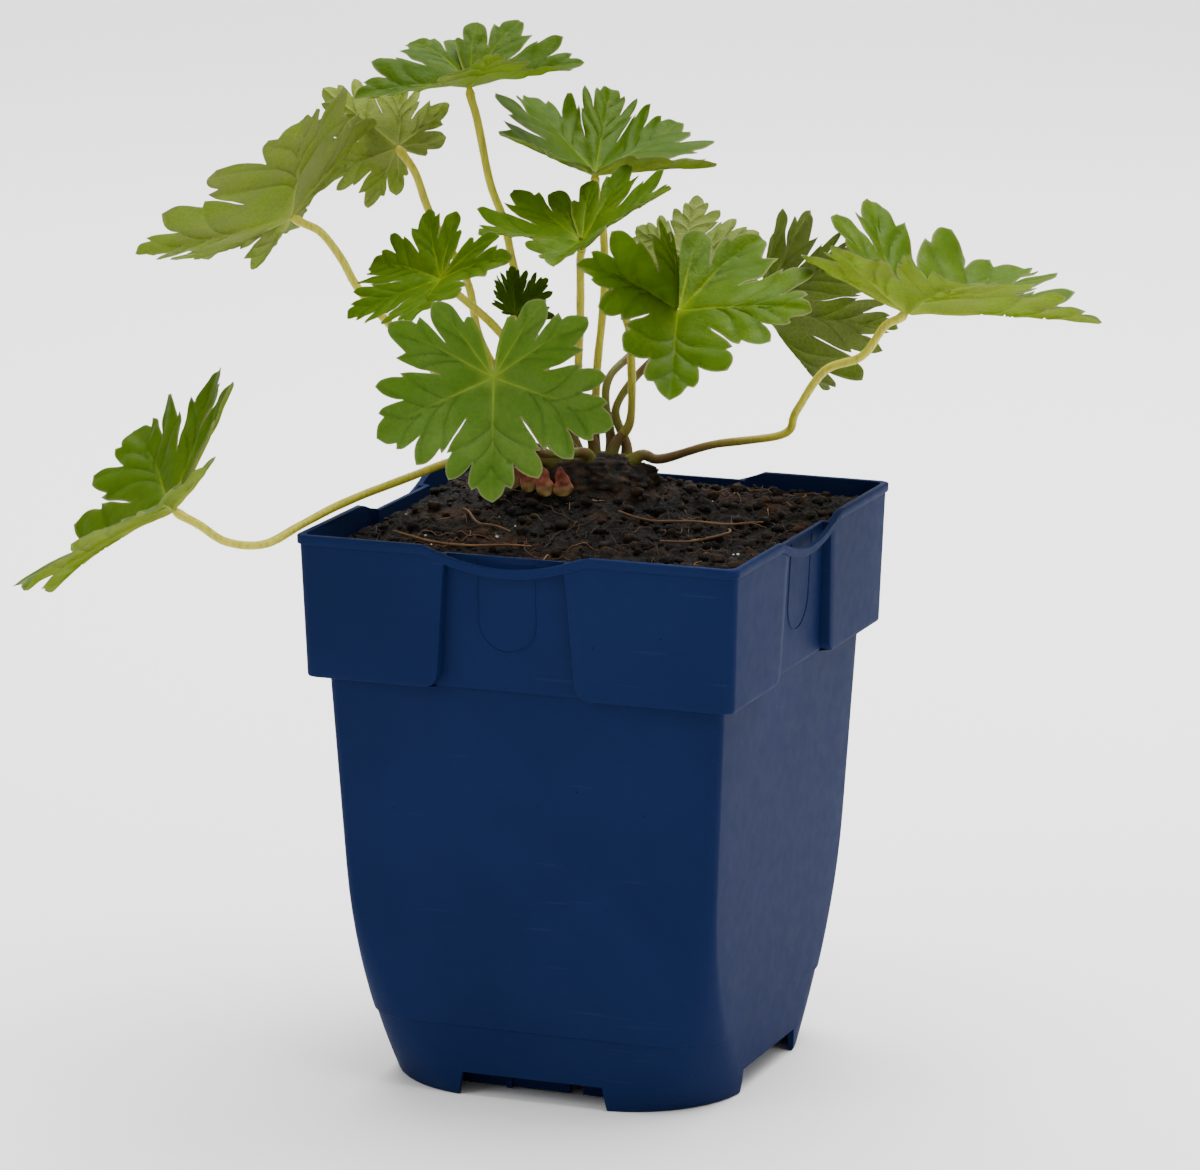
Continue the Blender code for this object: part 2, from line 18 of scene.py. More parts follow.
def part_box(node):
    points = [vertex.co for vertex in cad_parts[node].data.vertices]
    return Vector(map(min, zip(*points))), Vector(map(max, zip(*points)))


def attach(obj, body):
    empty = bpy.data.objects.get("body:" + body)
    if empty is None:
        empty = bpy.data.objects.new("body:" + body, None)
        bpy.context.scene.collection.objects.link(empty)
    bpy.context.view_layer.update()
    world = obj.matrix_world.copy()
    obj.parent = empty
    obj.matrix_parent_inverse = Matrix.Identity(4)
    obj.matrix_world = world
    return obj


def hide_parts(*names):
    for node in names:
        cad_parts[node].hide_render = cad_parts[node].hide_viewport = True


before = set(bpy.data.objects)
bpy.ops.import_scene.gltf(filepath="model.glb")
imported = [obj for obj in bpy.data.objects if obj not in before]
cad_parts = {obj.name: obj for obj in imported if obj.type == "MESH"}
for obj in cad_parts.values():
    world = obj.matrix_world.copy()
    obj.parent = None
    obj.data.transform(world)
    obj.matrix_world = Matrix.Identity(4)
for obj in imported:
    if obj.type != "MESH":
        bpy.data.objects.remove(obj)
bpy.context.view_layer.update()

# %% [markdown]
# ## Working in millimetres round the pot
# Everything is drawn in millimetres round the pot's own upright axis, as a plant and its pot would be
# measured on a bench. The plant leans out of its pot, so that axis isn't the middle of the whole model: the
# soil's box tells where it is. One helper turns points into a piece, and ties it to the solid piece that it
# stands for.

# %% Scale and the pot's axis
MM = 0.001
low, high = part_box("potting_soil")
POT_AXIS = Vector(((low.x + high.x) / 2 / MM, (low.y + high.y) / 2 / MM, 0.0))
print("pot axis stands at", [round(v, 2) for v in POT_AXIS], "mm")


def make_piece(name, points, faces, finishes, stands_for=(), soft_edge=50.0):
    mesh = bpy.data.meshes.new(name)
    places = (np.array([tuple(p) for p in points], float) + np.array(POT_AXIS)) * MM
    mesh.from_pydata(places.tolist(), [], [tuple(f) for f in faces])
    for finish in finishes:
        mesh.materials.append(finish)
    mesh.polygons.foreach_set("use_smooth", [True] * len(mesh.polygons))
    mesh.set_sharp_from_angle(angle=radians(soft_edge))
    piece = bpy.data.objects.new(name, mesh)
    bpy.context.scene.collection.objects.link(piece)
    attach(piece, "root")
    if stands_for:
        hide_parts(*stands_for)
    return piece


def paint(piece, name, values):
    """Keeps one number for each point of a piece, for its finish to read."""
    layer = piece.data.attributes.new(name, "FLOAT", "POINT")
    layer.data.foreach_set("value", np.asarray(values, np.float32))


# %% [markdown]
# ## Skins over rings
# Stalks, roots, bud scales and the pot's wall are all rings joined by a skin. A stalk's rings follow a
# smooth path, and each ring is turned only as much as the path turns, so that the skin never twists.

# %% Rings, smooth paths and tubes
def skin(rings, open_ends=False):
    count = len(rings[0])
    faces = [] if open_ends else [tuple(reversed(range(count)))]
    for k in range(len(rings) - 1):
        for i in range(count):
            j = (i + 1) % count
            faces.append((k * count + i, k * count + j, (k + 1) * count + j, (k + 1) * count + i))
    if not open_ends:
        faces.append(tuple(range((len(rings) - 1) * count, len(rings) * count)))
    return [p for ring in rings for p in ring], faces


def add_shape(points, faces, more_points, more_faces):
    start = len(points)
    points += more_points
    faces += [tuple(i + start for i in face) for face in more_faces]


def smooth_path(points, count):
    """Even points along a rounded path through the given ones."""
    pts = [Vector(p) for p in points]
    ends = [pts[0] * 2 - pts[1]] + pts + [pts[-1] * 2 - pts[-2]]
    dense = []
    for a, b, c, d in zip(ends, ends[1:], ends[2:], ends[3:]):
        for step in range(8):
            t = step / 8
            dense.append(0.5 * (2 * b + (c - a) * t + (2 * a - 5 * b + 4 * c - d) * t ** 2
                                + (3 * b - a - 3 * c + d) * t ** 3))
    dense.append(pts[-1])
    far = np.cumsum([0.0] + [(q - p).length for p, q in zip(dense, dense[1:])])
    goals = np.linspace(0, far[-1], count)
    flat = np.array([tuple(p) for p in dense])
    return [Vector(row) for row in np.stack([np.interp(goals, far, flat[:, k]) for k in range(3)], 1)]


def tube_rings(path, radii, sides, wobble=0.0, seed=0.0):
    rings = []
    across = None
    for k, centre in enumerate(path):
        along = (path[min(k + 1, len(path) - 1)] - path[max(k - 1, 0)]).normalized()
        if across is None:
            across = along.orthogonal().normalized()
        across = (across - along * across.dot(along)).normalized()
        up = along.cross(across)
        ring = []
        for i in range(sides):
            way = across * cos(2 * pi * i / sides) + up * sin(2 * pi * i / sides)
            swell = 1 + wobble * noise.noise(way * 0.9 + Vector((k * 0.11, seed, 0)))
            ring.append(centre + way * radii[k] * swell)
        rings.append(ring)
    return rings


# %% [markdown]
# ## Finishes from nodes
# Each finish is a small recipe for the shader: a colour that drifts between two shades, a roughness, and a
# fine bump. Object coordinates are in metres here, so a noise scale of 1000 gives grain about a millimetre
# wide. The helpers below only shorten the wiring.

# %% Wiring helpers
def fill(node, values):
    for name, value in values.items():
        node.inputs[name.replace("_", " ")].default_value = value


class Recipe:
    def __init__(self, name):
        self.finish = bpy.data.materials.new(name)
        self.finish.use_nodes = True
        self.tree = self.finish.node_tree
        self.shader = self.tree.nodes["Principled BSDF"]
        self.out = self.tree.nodes["Material Output"]
        self.place = self.tree.nodes.new("ShaderNodeTexCoord").outputs["Object"]

    def wire(self, source, target):
        self.tree.links.new(source, target)

    def set(self, **values):
        fill(self.shader, values)

    def node(self, kind, **values):
        made = self.tree.nodes.new(kind)
        fill(made, values)
        return made

    def feed(self, socket, value):
        """Gives a socket a colour or a number, or wires another node's output to it."""
        if isinstance(value, tuple):
            socket.default_value = (*value, 1)
        elif isinstance(value, (int, float)):
            socket.default_value = value
        else:
            self.wire(value, socket)

    def grain(self, scale, detail=3.0, stretch=None):
        """Soft noise, which a stretch below 1 draws out along that axis."""
        node = self.node("ShaderNodeTexNoise", Scale=scale, Detail=detail, Roughness=0.55)
        place = self.place
        if stretch:
            mapping = self.node("ShaderNodeMapping", Scale=stretch)
            self.wire(place, mapping.inputs["Vector"])
            place = mapping.outputs["Vector"]
        self.wire(place, node.inputs["Vector"])
        return node.outputs["Fac"]

    def cells(self, scale, feature="F1"):
        node = self.node("ShaderNodeTexVoronoi", Scale=scale)
        node.feature = feature
        self.wire(self.place, node.inputs["Vector"])
        return node.outputs["Distance"]

    def painted(self, name):
        node = self.node("ShaderNodeAttribute")
        node.attribute_name = name
        return node.outputs["Fac"]

    def ease(self, value, start, end, low=0.0, high=1.0):
        """Goes from low to high as the value goes from start to end."""
        node = self.node("ShaderNodeMapRange", From_Min=start, From_Max=end, To_Min=low, To_Max=high)
        node.interpolation_type = "SMOOTHSTEP"
        self.wire(value, node.inputs["Value"])
        return node.outputs["Result"]

    def mix(self, share, first, second):
        node = self.node("ShaderNodeMix")
        node.data_type = "RGBA"
        self.wire(share, node.inputs["Factor"])
        self.feed(node.inputs[6], first)
        self.feed(node.inputs[7], second)
        return node.outputs[2]

    def maths(self, how, first, second):
        node = self.node("ShaderNodeMath")
        node.operation = how
        self.feed(node.inputs[0], first)
        self.feed(node.inputs[1], second)
        return node.outputs["Value"]

    def times(self, first, second):
        return self.maths("MULTIPLY", first, second)

    def plus(self, first, second):
        return self.maths("ADD", first, second)

    def colour(self, source):
        self.wire(source, self.shader.inputs["Base Color"])

    def roughen(self, grain, least, most):
        """Lets the roughness drift between two values as the grain does."""
        self.wire(self.ease(grain, 0.3, 0.7, least, most), self.shader.inputs["Roughness"])

    def bump(self, height, depth_mm):
        node = self.node("ShaderNodeBump", Distance=depth_mm * MM, Strength=1.0)
        self.wire(height, node.inputs["Height"])
        self.wire(node.outputs["Normal"], self.shader.inputs["Normal"])


print("recipes are mixed with", len([f for f in dir(Recipe) if not f.startswith("_")]), "helpers")

# %% [markdown]
# ## The pot's plastic
# A nursery pot is thin injection-moulded plastic in a deep navy, satin rather than shiny. Close up it has
# faint flow marks, tiny dark specks of recycled plastic and hair-fine scratches from stacking. The specks
# come from sparse cell centres, and the scratches from grain that is stretched a long way in one direction.

# %% Plastic finish
def pot_plastic():
    r = Recipe("navy_plastic")
    drift = r.mix(r.ease(r.grain(28, 2), 0.35, 0.65), (0.0058, 0.0128, 0.0500), (0.0066, 0.0142, 0.0550))
    scratch = r.ease(r.grain(900, 1, (0.05, 1.0, 1.0)), 0.70, 0.76)
    drift = r.mix(r.times(scratch, 0.08), drift, (0.03, 0.06, 0.14))
    sparse = r.ease(r.grain(60, 2), 0.50, 0.60)
    speck = r.times(r.ease(r.cells(170), 0.020, 0.055, 1.0, 0.0), sparse)
    r.colour(r.mix(r.times(speck, 0.8), drift, (0.003, 0.005, 0.011)))
    r.roughen(r.grain(300, 3), 0.50, 0.55)
    fine = r.plus(r.times(r.grain(2600, 2), 0.3), r.times(scratch, -0.2))
    r.bump(r.plus(fine, r.times(speck, -1.0)), 0.04)
    r.set(Specular_IOR_Level=0.02)
    return r.finish


navy = pot_plastic()
print("plastic finish has", len(navy.node_tree.nodes), "nodes")

# %% [markdown]
# ## The pot's wall
# The mould opens upwards, so the body widens from foot to collar and its corners change from large rounds
# at the foot to small ones at the top. Round the top runs a collar. On each side a shallow panel is let
# into the collar to take a label, and the rim dips over the panel as a strap. The wall is lofted from level
# outlines, which keeps every edge where a mould would put it.

# %% Driving sizes of the pot
POT_HEIGHT = 129.4
RIM_HALF = 52.5
COLLAR_FOOT_HALF = 50.9
COLLAR_HEIGHT = 32.8
BODY_TOP_HALF = 47.1
FOOT_HALF = 41.9
WALL = 1.1
LIP_HEIGHT = 2.1
LIP_PROUD = 0.5
CORNER_AT_TOP = 2.5
CORNER_AT_FOOT = 27.0
CORNER_FADE = 52.0
COLLAR_CORNER = 2.3
PANEL_MIDDLE = -2.4
PANEL_HALF_TOP = 14.0
PANEL_HALF_FOOT = 16.5
PANEL_PROUD = 1.1
PANEL_DROP = 1.8
SKIRT_ROUND = 3.4
STRAP_HALF = 19.0
STRAP_SAG = 4.1
STRAP_DEPTH = 1.25
SEAM_HEIGHT = 16.8
SEAM_STEP = 0.35
BASE_TOP = 8.6
COLLAR_FOOT = POT_HEIGHT - COLLAR_HEIGHT
QUARTER_TURNS = [Matrix.Rotation(quarter * pi / 2, 3, "Z") for quarter in range(4)]


def body_half(z):
    step = SEAM_STEP if z < SEAM_HEIGHT else 0.0
    return FOOT_HALF + (BODY_TOP_HALF - FOOT_HALF) * z / COLLAR_FOOT - step


def body_corner(z):
    return CORNER_AT_TOP + (CORNER_AT_FOOT - CORNER_AT_TOP) * max(0.0, 1.0 - z / CORNER_FADE) ** 2.0


def rim_dip(x):
    share = min(1.0, max(0.0, (x - PANEL_MIDDLE + STRAP_HALF) / (2 * STRAP_HALF)))
    return STRAP_SAG * sin(pi * share) ** 0.85


print("body is", 2 * FOOT_HALF, "mm wide at the floor and", 2 * RIM_HALF, "mm at the rim")

# %% [markdown]
# One level of the wall is a rounded square. Each side has points close together beside the panel, where the
# rim dips and the skirt's corners are round. A level is drawn for one side and turned for the other three.

# %% One level of the wall
CORNER_STEPS = 12
BESIDE_PANEL = (0.0, 0.3, 0.55, 0.68, 0.78, 0.86, 0.93, 1.0)
PANEL_TO_CORNER = 1.6


def wall_level(half, corner, z, panel_half, panel_depth, edge_round=0.0, dip=0.0, panel_drop=0.0):
    """A rounded square of points at height z, with a panel let in by panel_depth on each side."""
    panel_half = min(panel_half, half - corner + PANEL_MIDDLE - PANEL_TO_CORNER)
    left, right = PANEL_MIDDLE - panel_half, PANEL_MIDDLE + panel_half
    side = []
    for step in range(CORNER_STEPS + 1):
        angle = pi + step * pi / 2 / CORNER_STEPS
        side.append((corner - half + corner * cos(angle), corner - half + corner * sin(angle), 0.0))
    edge = corner - half
    soft = min(edge_round, panel_depth * 0.45)
    for share in BESIDE_PANEL[1:]:
        side.append((edge + (left - soft - edge) * share, -half, 0.0))
    side.append((left - soft * 0.3, -half + soft * 0.3, 0.0))
    side.append((left, -half + soft, 0.0))
    for share in (0.0, 0.25, 0.5, 0.75, 1.0):
        side.append((left + 2 * panel_half * share, -half + panel_depth, 1.0))
    side.append((right, -half + soft, 0.0))
    side.append((right + soft * 0.3, -half + soft * 0.3, 0.0))
    for share in BESIDE_PANEL[:0:-1]:
        side.append((-edge + (right + soft + edge) * share, -half, 0.0))
    level = []
    for turn in QUARTER_TURNS:
        for x, y, on_panel in side:
            drop = rim_dip(x) * dip if not on_panel and abs(y) > half - corner - 0.01 else 0.0
            level.append(turn @ Vector((x, y, z - drop - panel_drop * on_panel)))
    return level


print("one level has", len(wall_level(50, 2.5, 0, 14, 3)), "points")

# %% [markdown]
# The levels climb the outside, turn over the rim and go down the inside as one skin. Close pairs of levels
# make the small round edges at the foot, at the seam line, at the collar's lower edge and at the lip, which
# catch the light on real moulded plastic. The collar's lower corners beside the panel are rounded by moving
# the panel's edge out along a quarter circle.

# %% Outside and inside levels
def skirt_panel_half(z, share):
    """Half width of the panel, widened near the collar's foot so that the skirt's corner is round."""
    plain = PANEL_HALF_FOOT + (PANEL_HALF_TOP - PANEL_HALF_FOOT) * share
    low = max(0.0, 1.0 - (z - COLLAR_FOOT) / SKIRT_ROUND)
    return plain + SKIRT_ROUND * (1.0 - (1.0 - low ** 2) ** 0.5)


def collar_level(z, proud=0.0, inset=0.0, dip=0.0, tuck=0.0):
    share = (z - COLLAR_FOOT) / COLLAR_HEIGHT
    half = COLLAR_FOOT_HALF + (RIM_HALF - LIP_PROUD - COLLAR_FOOT_HALF) * share - tuck
    depth = half + proud - body_half(z) - PANEL_PROUD + tuck * 0.6
    panel_drop = PANEL_DROP * max(0.0, 1.0 - (POT_HEIGHT - z) / LIP_HEIGHT)
    return wall_level(half + proud - inset, COLLAR_CORNER, z, skirt_panel_half(z, share) + inset, depth, 0.5,
                      dip, panel_drop)


def body_level(z, inset=0.0):
    return wall_level(body_half(z) - inset, max(1.2, body_corner(z) - inset), z, PANEL_HALF_FOOT, 0.0)


def pot_levels():
    outside = [body_level(0.0, 0.5), body_level(0.15, 0.22), body_level(0.5)]
    outside += [body_level(z) for z in (3, 6, 9, 12, 14.5, SEAM_HEIGHT - 0.25)]
    outside += [body_level(SEAM_HEIGHT + 0.05, 0.02)]
    outside += [body_level(z) for z in (19, 22, 26, 30, 35, 40, 46, 52, 60, 72, 84, COLLAR_FOOT - 0.4)]
    outside += [body_level(COLLAR_FOOT + 0.05)]
    outside += [collar_level(COLLAR_FOOT + 0.06, tuck=0.55), collar_level(COLLAR_FOOT + 0.22, tuck=0.15)]
    outside += [collar_level(COLLAR_FOOT + lift) for lift in (0.6, 1.2, 2.0, 2.9, 4.0, 8.0, 16.0, 24.0)]
    rim = POT_HEIGHT
    outside += [collar_level(rim - 8.0), collar_level(rim - LIP_HEIGHT - 0.12, dip=1)]
    outside += [collar_level(rim - LIP_HEIGHT, LIP_PROUD * 0.75, dip=1)]
    outside += [collar_level(z, LIP_PROUD, dip=1) for z in (rim - LIP_HEIGHT + 0.2, rim - 0.35)]
    outside += [collar_level(rim - 0.1, LIP_PROUD * 0.7, dip=1), collar_level(rim, LIP_PROUD * 0.2, dip=1)]
    inside = [collar_level(rim, inset=WALL * 0.7, dip=1), collar_level(rim - 0.12, inset=WALL * 0.95, dip=1)]
    inside += [collar_level(rim - 8.0, inset=WALL)]
    inside += [collar_level(COLLAR_FOOT + lift, inset=WALL) for lift in (20.0, 8.0, 2.0)]
    inside += [body_level(z, WALL) for z in (COLLAR_FOOT, 72, 52, 40, 30, 24, 19, 14, 10.5)]
    inside += [body_level(9.2, WALL + 0.3), body_level(BASE_TOP, WALL + 1.4)]
    return outside + inside


levels = pot_levels()
print("the wall is lofted over", len(levels), "levels")

# %% [markdown]
# ## Cutting the foot
# The pot stands on a low skirt with a wide notch in each side, so that water can run out. Behind the
# notches a second, smaller wall holds up the floor of the pot, and the floor has round drain holes. These
# are cuts and joins of simple shapes, so Boolean modifiers do them, and their result is read back as one
# mesh.

# %% Foot sizes and cutting helper
BASE_PLATE = 1.6
NOTCH_HALF = 18.2
NOTCH_TOP_HALF = 17.0
NOTCH_HEIGHT = 5.6
RING_HALF = 33.0
RING_CORNER = 14.0
RING_WALL = 1.3
SLOT_LEFT, SLOT_RIGHT = 5.8, 9.0
RIB_AT = -8.5
RIB_HALF = 0.6
SKIRT_WALL = 1.7
DRAIN_RADIUS = 4.5
DRAIN_OFFSET = 20.0


def helper_mesh(name, points, faces):
    mesh = bpy.data.meshes.new(name)
    mesh.from_pydata([tuple(Vector(p) * MM) for p in points], [], [tuple(f) for f in faces])
    obj = bpy.data.objects.new(name, mesh)
    bpy.context.scene.collection.objects.link(obj)
    return obj


def carve(base, steps):
    """Runs each (operation, points, faces, turns) on the base in turn and returns the finished mesh data."""
    helpers = [base]
    for operation, points, faces, turns in steps:
        for quarter in range(turns):
            tool = helper_mesh("tool", points, faces)
            tool.rotation_euler.z = quarter * pi / 2
            step = base.modifiers.new("step", "BOOLEAN")
            step.operation = operation
            step.object = tool
            helpers.append(tool)
    bpy.context.view_layer.update()
    seen = base.evaluated_get(bpy.context.evaluated_depsgraph_get()).to_mesh()
    points = [v.co / MM for v in seen.vertices]
    faces = [tuple(f.vertices) for f in seen.polygons]
    for obj in helpers:
        bpy.data.objects.remove(obj, do_unlink=True)
    return points, faces


def prism(outline, low, high, taper=None):
    top = taper if taper else outline
    return skin([[Vector((x, y, low)) for x, y in outline], [Vector((x, y, high)) for x, y in top]])


def rectangle(left, right, front, back):
    return [(left, front), (right, front), (right, back), (left, back)]


print("foot notch is", 2 * NOTCH_HALF, "mm wide")

# %% Carve the foot
def foot_steps():
    plate_foot = BASE_TOP - BASE_PLATE
    half = FOOT_HALF - SKIRT_WALL
    hollow = skin([wall_level(half, CORNER_AT_FOOT - 2, -1.0, PANEL_HALF_FOOT, 0.0),
                   wall_level(half + 0.4, CORNER_AT_FOOT - 4, plate_foot, PANEL_HALF_FOOT, 0.0)])
    ring_levels = (0.6, BASE_TOP - 0.6)
    outer = [wall_level(RING_HALF, RING_CORNER, z, PANEL_HALF_FOOT, 0.0) for z in ring_levels]
    inner_half, inner_corner = RING_HALF - RING_WALL, RING_CORNER - RING_WALL
    inner = [wall_level(inner_half, inner_corner, z, PANEL_HALF_FOOT, 0.0) for z in ring_levels[::-1]]
    points, faces = skin(outer + inner, open_ends=True)
    count = len(outer[0])
    faces += [(3 * count + i, 3 * count + (i + 1) % count, (i + 1) % count, i) for i in range(count)]
    rib_foot = rectangle(RIB_AT - RIB_HALF, RIB_AT + RIB_HALF, -RING_HALF - RING_WALL, -RING_HALF + 0.5)
    rib = prism(rib_foot, *ring_levels)
    front, back = -FOOT_HALF - 4, -FOOT_HALF + 4.2
    notch = prism(rectangle(-NOTCH_HALF, NOTCH_HALF, front, back), -1.0, NOTCH_HEIGHT,
                  rectangle(-NOTCH_TOP_HALF, NOTCH_TOP_HALF, front, back))
    slot = prism(rectangle(SLOT_LEFT, SLOT_RIGHT, -RING_HALF - 2, -RING_HALF + 4), -1.0, plate_foot - 0.2)
    steps = [("DIFFERENCE", *hollow, 1), ("UNION", points, faces, 1), ("UNION", *rib, 4),
             ("DIFFERENCE", *notch, 4), ("DIFFERENCE", *slot, 4)]
    for side, ahead in ((0, 0), (1, 1), (-1, 1), (-1, -1), (1, -1)):
        spin = [(side * DRAIN_OFFSET + DRAIN_RADIUS * cos(a * pi / 16),
                 ahead * DRAIN_OFFSET + DRAIN_RADIUS * sin(a * pi / 16)) for a in range(32)]
        steps.append(("DIFFERENCE", *prism(spin, plate_foot - 1.0, BASE_TOP + 1.0), 1))
    return steps


wall = helper_mesh("wall", *skin(levels))
pot_points, pot_faces = carve(wall, foot_steps())
print("carved pot has", len(pot_points), "points and", len(pot_faces), "faces")

# %% [markdown]
# ## Rim straps and the moulded outline on each panel
# Over each label panel the lip carries on as a free strap, which stands off from the panel so that a label
# can be pushed in behind it. On the panel a thin raised line runs down, round and up again, as the mark of
# the label's seat. Both are drawn once and turned to all four sides. The raised line is a thin tube that is
# half sunk.

# %% Straps, raised lines, and the finished pot
STRAP_ROUND = 0.3
STRAP_OVERLAP = 2.2
STRAP_STEPS = 40
LINE_LEFT, LINE_RIGHT = -9.5, 4.1
LINE_FOOT = 105.7
LINE_RADIUS = 0.26


def strap_rings():
    rings = []
    start = PANEL_MIDDLE - PANEL_HALF_TOP - STRAP_OVERLAP
    end = PANEL_MIDDLE + PANEL_HALF_TOP + STRAP_OVERLAP
    front, back = -RIM_HALF + 0.02, -RIM_HALF + STRAP_DEPTH
    soft = STRAP_ROUND
    for step in range(STRAP_STEPS + 1):
        x = start + (end - start) * step / STRAP_STEPS
        top = POT_HEIGHT - rim_dip(x)
        foot = top - LIP_HEIGHT
        rings.append([Vector(p) for p in (
            (x, front, foot + soft), (x, front + soft, foot), (x, back - soft, foot), (x, back, foot + soft),
            (x, back, top - soft), (x, back - soft, top), (x, front + soft, top), (x, front, top - soft))])
    return rings


def panel_face(z):
    """How far the panel's surface stands out from the pot's axis."""
    return body_half(z) + PANEL_PROUD


def raised_line():
    radius = (LINE_RIGHT - LINE_LEFT) / 2
    middle = (LINE_RIGHT + LINE_LEFT) / 2
    route = [(LINE_LEFT, POT_HEIGHT - PANEL_DROP - 1.0), (LINE_LEFT, LINE_FOOT + radius)]
    for angle in (a * pi / 20 for a in range(1, 20)):
        route.append((middle - radius * cos(angle), LINE_FOOT + radius - radius * sin(angle)))
    route += [(LINE_RIGHT, LINE_FOOT + radius), (LINE_RIGHT, POT_HEIGHT - PANEL_DROP - 1.0)]
    path = [Vector((x, -panel_face(z) + 0.06, z)) for x, z in route]
    return tube_rings(path, [LINE_RADIUS] * len(path), 8)


for rings in (strap_rings(), raised_line()):
    one, sides = skin(rings)
    for turn in QUARTER_TURNS:
        add_shape(pot_points, pot_faces, [turn @ p for p in one], sides)
pot = make_piece("moulded_pot", pot_points, pot_faces, [navy], ["pot"], soft_edge=32)
print("pot has", len(pot.data.polygons), "faces; strap is", round(LIP_HEIGHT, 1), "mm tall")

# %% [markdown]
# ## Peat
# Potting peat is nearly black when damp, with browner dry crumbs on top, golden root fibres and a few white
# grains. A flat sheet with a bump would look like carpet, so the surface is a real relief: it follows the
# solid soil's mound, then clods about 4 mm wide, then crumbs. Cell noise gives clods their rounded tops and
# narrow gaps, and the finish paints the gaps dark as painted shade.

# %% Peat height
SOIL_LEVEL = 126.6
VIEW_TURN = radians(21.25)
CROWN_MIDDLE = Vector((-8.0, 16.5, 131.5))
CROWN_REACH = (14.5, 9.5, 7.5)
WALL_GAP = 0.12
MOUND_RISE = 7.0
CLOD_SIZE = 5.2
CRUMB_SIZE = 2.1


def to_crown(x, y):
    dx, dy = x - CROWN_MIDDLE.x, y - CROWN_MIDDLE.y
    return dx * cos(VIEW_TURN) + dy * sin(VIEW_TURN), dy * cos(VIEW_TURN) - dx * sin(VIEW_TURN)


def from_crown(side, depth):
    return (CROWN_MIDDLE.x + side * cos(VIEW_TURN) - depth * sin(VIEW_TURN),
            CROWN_MIDDLE.y + side * sin(VIEW_TURN) + depth * cos(VIEW_TURN))


def mound_height(x, y):
    side, depth = to_crown(x, y)
    mound = MOUND_RISE * exp(-(hypot(side * 0.75, depth) / 19.0) ** 2)
    swell = 0.5 * sin(x * 0.31 + 1.0) * cos(y * 0.27) + 0.3 * sin(x * 0.13 - y * 0.41)
    edge = max(abs(x), abs(y)) / RIM_HALF
    return SOIL_LEVEL + mound + swell * (1.0 - 0.5 * edge) - 1.6 * max(0.0, -(x + y) / 90.0) * edge


def clods(x, y, size, seed):
    """Rounded lumps of about that size, with narrow gaps between them."""
    warp = noise.noise(Vector((x / size, y / size, seed))) * 0.8
    near, far = noise.voronoi(Vector((x / size + warp, y / size - warp, seed)))[0][:2]
    return min(1.0, (far - near) * 2.2) * (1.0 - near * 0.9)


def peat_height(x, y):
    patch = 0.5 + 0.5 * noise.noise(Vector((x * 0.045, y * 0.045, 3.0)))
    lumps = 1.5 * (0.35 + patch) * clods(x, y, CLOD_SIZE, 1.0) + 0.75 * clods(x, y, CRUMB_SIZE, 7.0)
    crumbs = 0.55 * noise.fractal(Vector((x * 0.9, y * 0.9, 5.0)), 1.0, 2.0, 4)
    wall_sink = 0.8 * max(0.0, max(abs(x), abs(y)) - 46.0) / 5.0
    return mound_height(x, y) - 1.25 + lumps + crumbs - wall_sink


print("peat stands", round(POT_HEIGHT - peat_height(0, -40), 1), "mm under the rim at the front")

# %% [markdown]
# The surface has to meet the pot's inner wall all the way round, panels included. So the wall's own outline
# is the edge of the sheet, an even grid of points fills it, and a Delaunay triangulation joins them. Below
# the surface the sheet turns down and follows the wall to the floor of the pot, which closes the peat into
# one solid.

# %% Peat surface mesh
PEAT_STEP = 0.72
COLLAR_ROOM = 50.7
PANEL_ROOM = 48.6


def wall_room(x, y):
    """Distance from a spot to the inner wall or, in front of a label panel, to the panel."""
    room = COLLAR_ROOM - max(abs(x), abs(y))
    for quarter in range(4):
        if abs(x - PANEL_MIDDLE) < PANEL_HALF_TOP + 3.0:
            room = min(room, PANEL_ROOM + y)
        x, y = y, -x
    return room


def wall_ring(z):
    """The inner wall's outline at a height, as the peat meets it."""
    inset = WALL + WALL_GAP
    if z > COLLAR_FOOT + 1.0:
        return [Vector((p.x, p.y, 0.0)) for p in collar_level(z, inset=inset)]
    return [Vector((p.x, p.y, 0.0)) for p in body_level(z, inset + (0.35 if z < 10 else 0.0))]


def reach_in(direction, ring):
    """How far the outline is from the axis in a direction."""
    for a, b in zip(ring, ring[1:] + ring[:1]):
        hit = geometry.intersect_line_line_2d((0, 0), direction * 200, a.xy, b.xy)
        if hit is not None:
            return hit.length
    return max(p.length for p in ring)


def resample(ring, step):
    """Points every step along a closed outline."""
    even = []
    for a, b in zip(ring, ring[1:] + ring[:1]):
        count = max(1, round((b - a).length / step))
        even += [a.lerp(b, k / count) for k in range(count) if (b - a).length > 0.05]
    return even


def fill_outline(outline, inner):
    """Triangles that fill a closed outline and use the inner points."""
    points = [p.xy for p in outline] + [Vector(p) for p in inner]
    edges = [(k, (k + 1) % len(outline)) for k in range(len(outline))]
    found = geometry.delaunay_2d_cdt(points, edges, [], 1, 1e-5)
    return found[0], found[2]


edge_loop = resample(wall_ring(SOIL_LEVEL), PEAT_STEP)
count = int(2 * RIM_HALF / PEAT_STEP)
spots = [((i - count / 2 + 0.5 * (j % 2)) * PEAT_STEP, (j - count / 2) * PEAT_STEP)
         for i in range(count) for j in range(count)]
grid = [spot for spot in spots if wall_room(*spot) > 0.5]
sheet, peat_faces = fill_outline(edge_loop, grid)
peat_faces = [tuple(f) for f in peat_faces]
print("peat surface has", len(sheet), "points and", len(peat_faces), "faces")

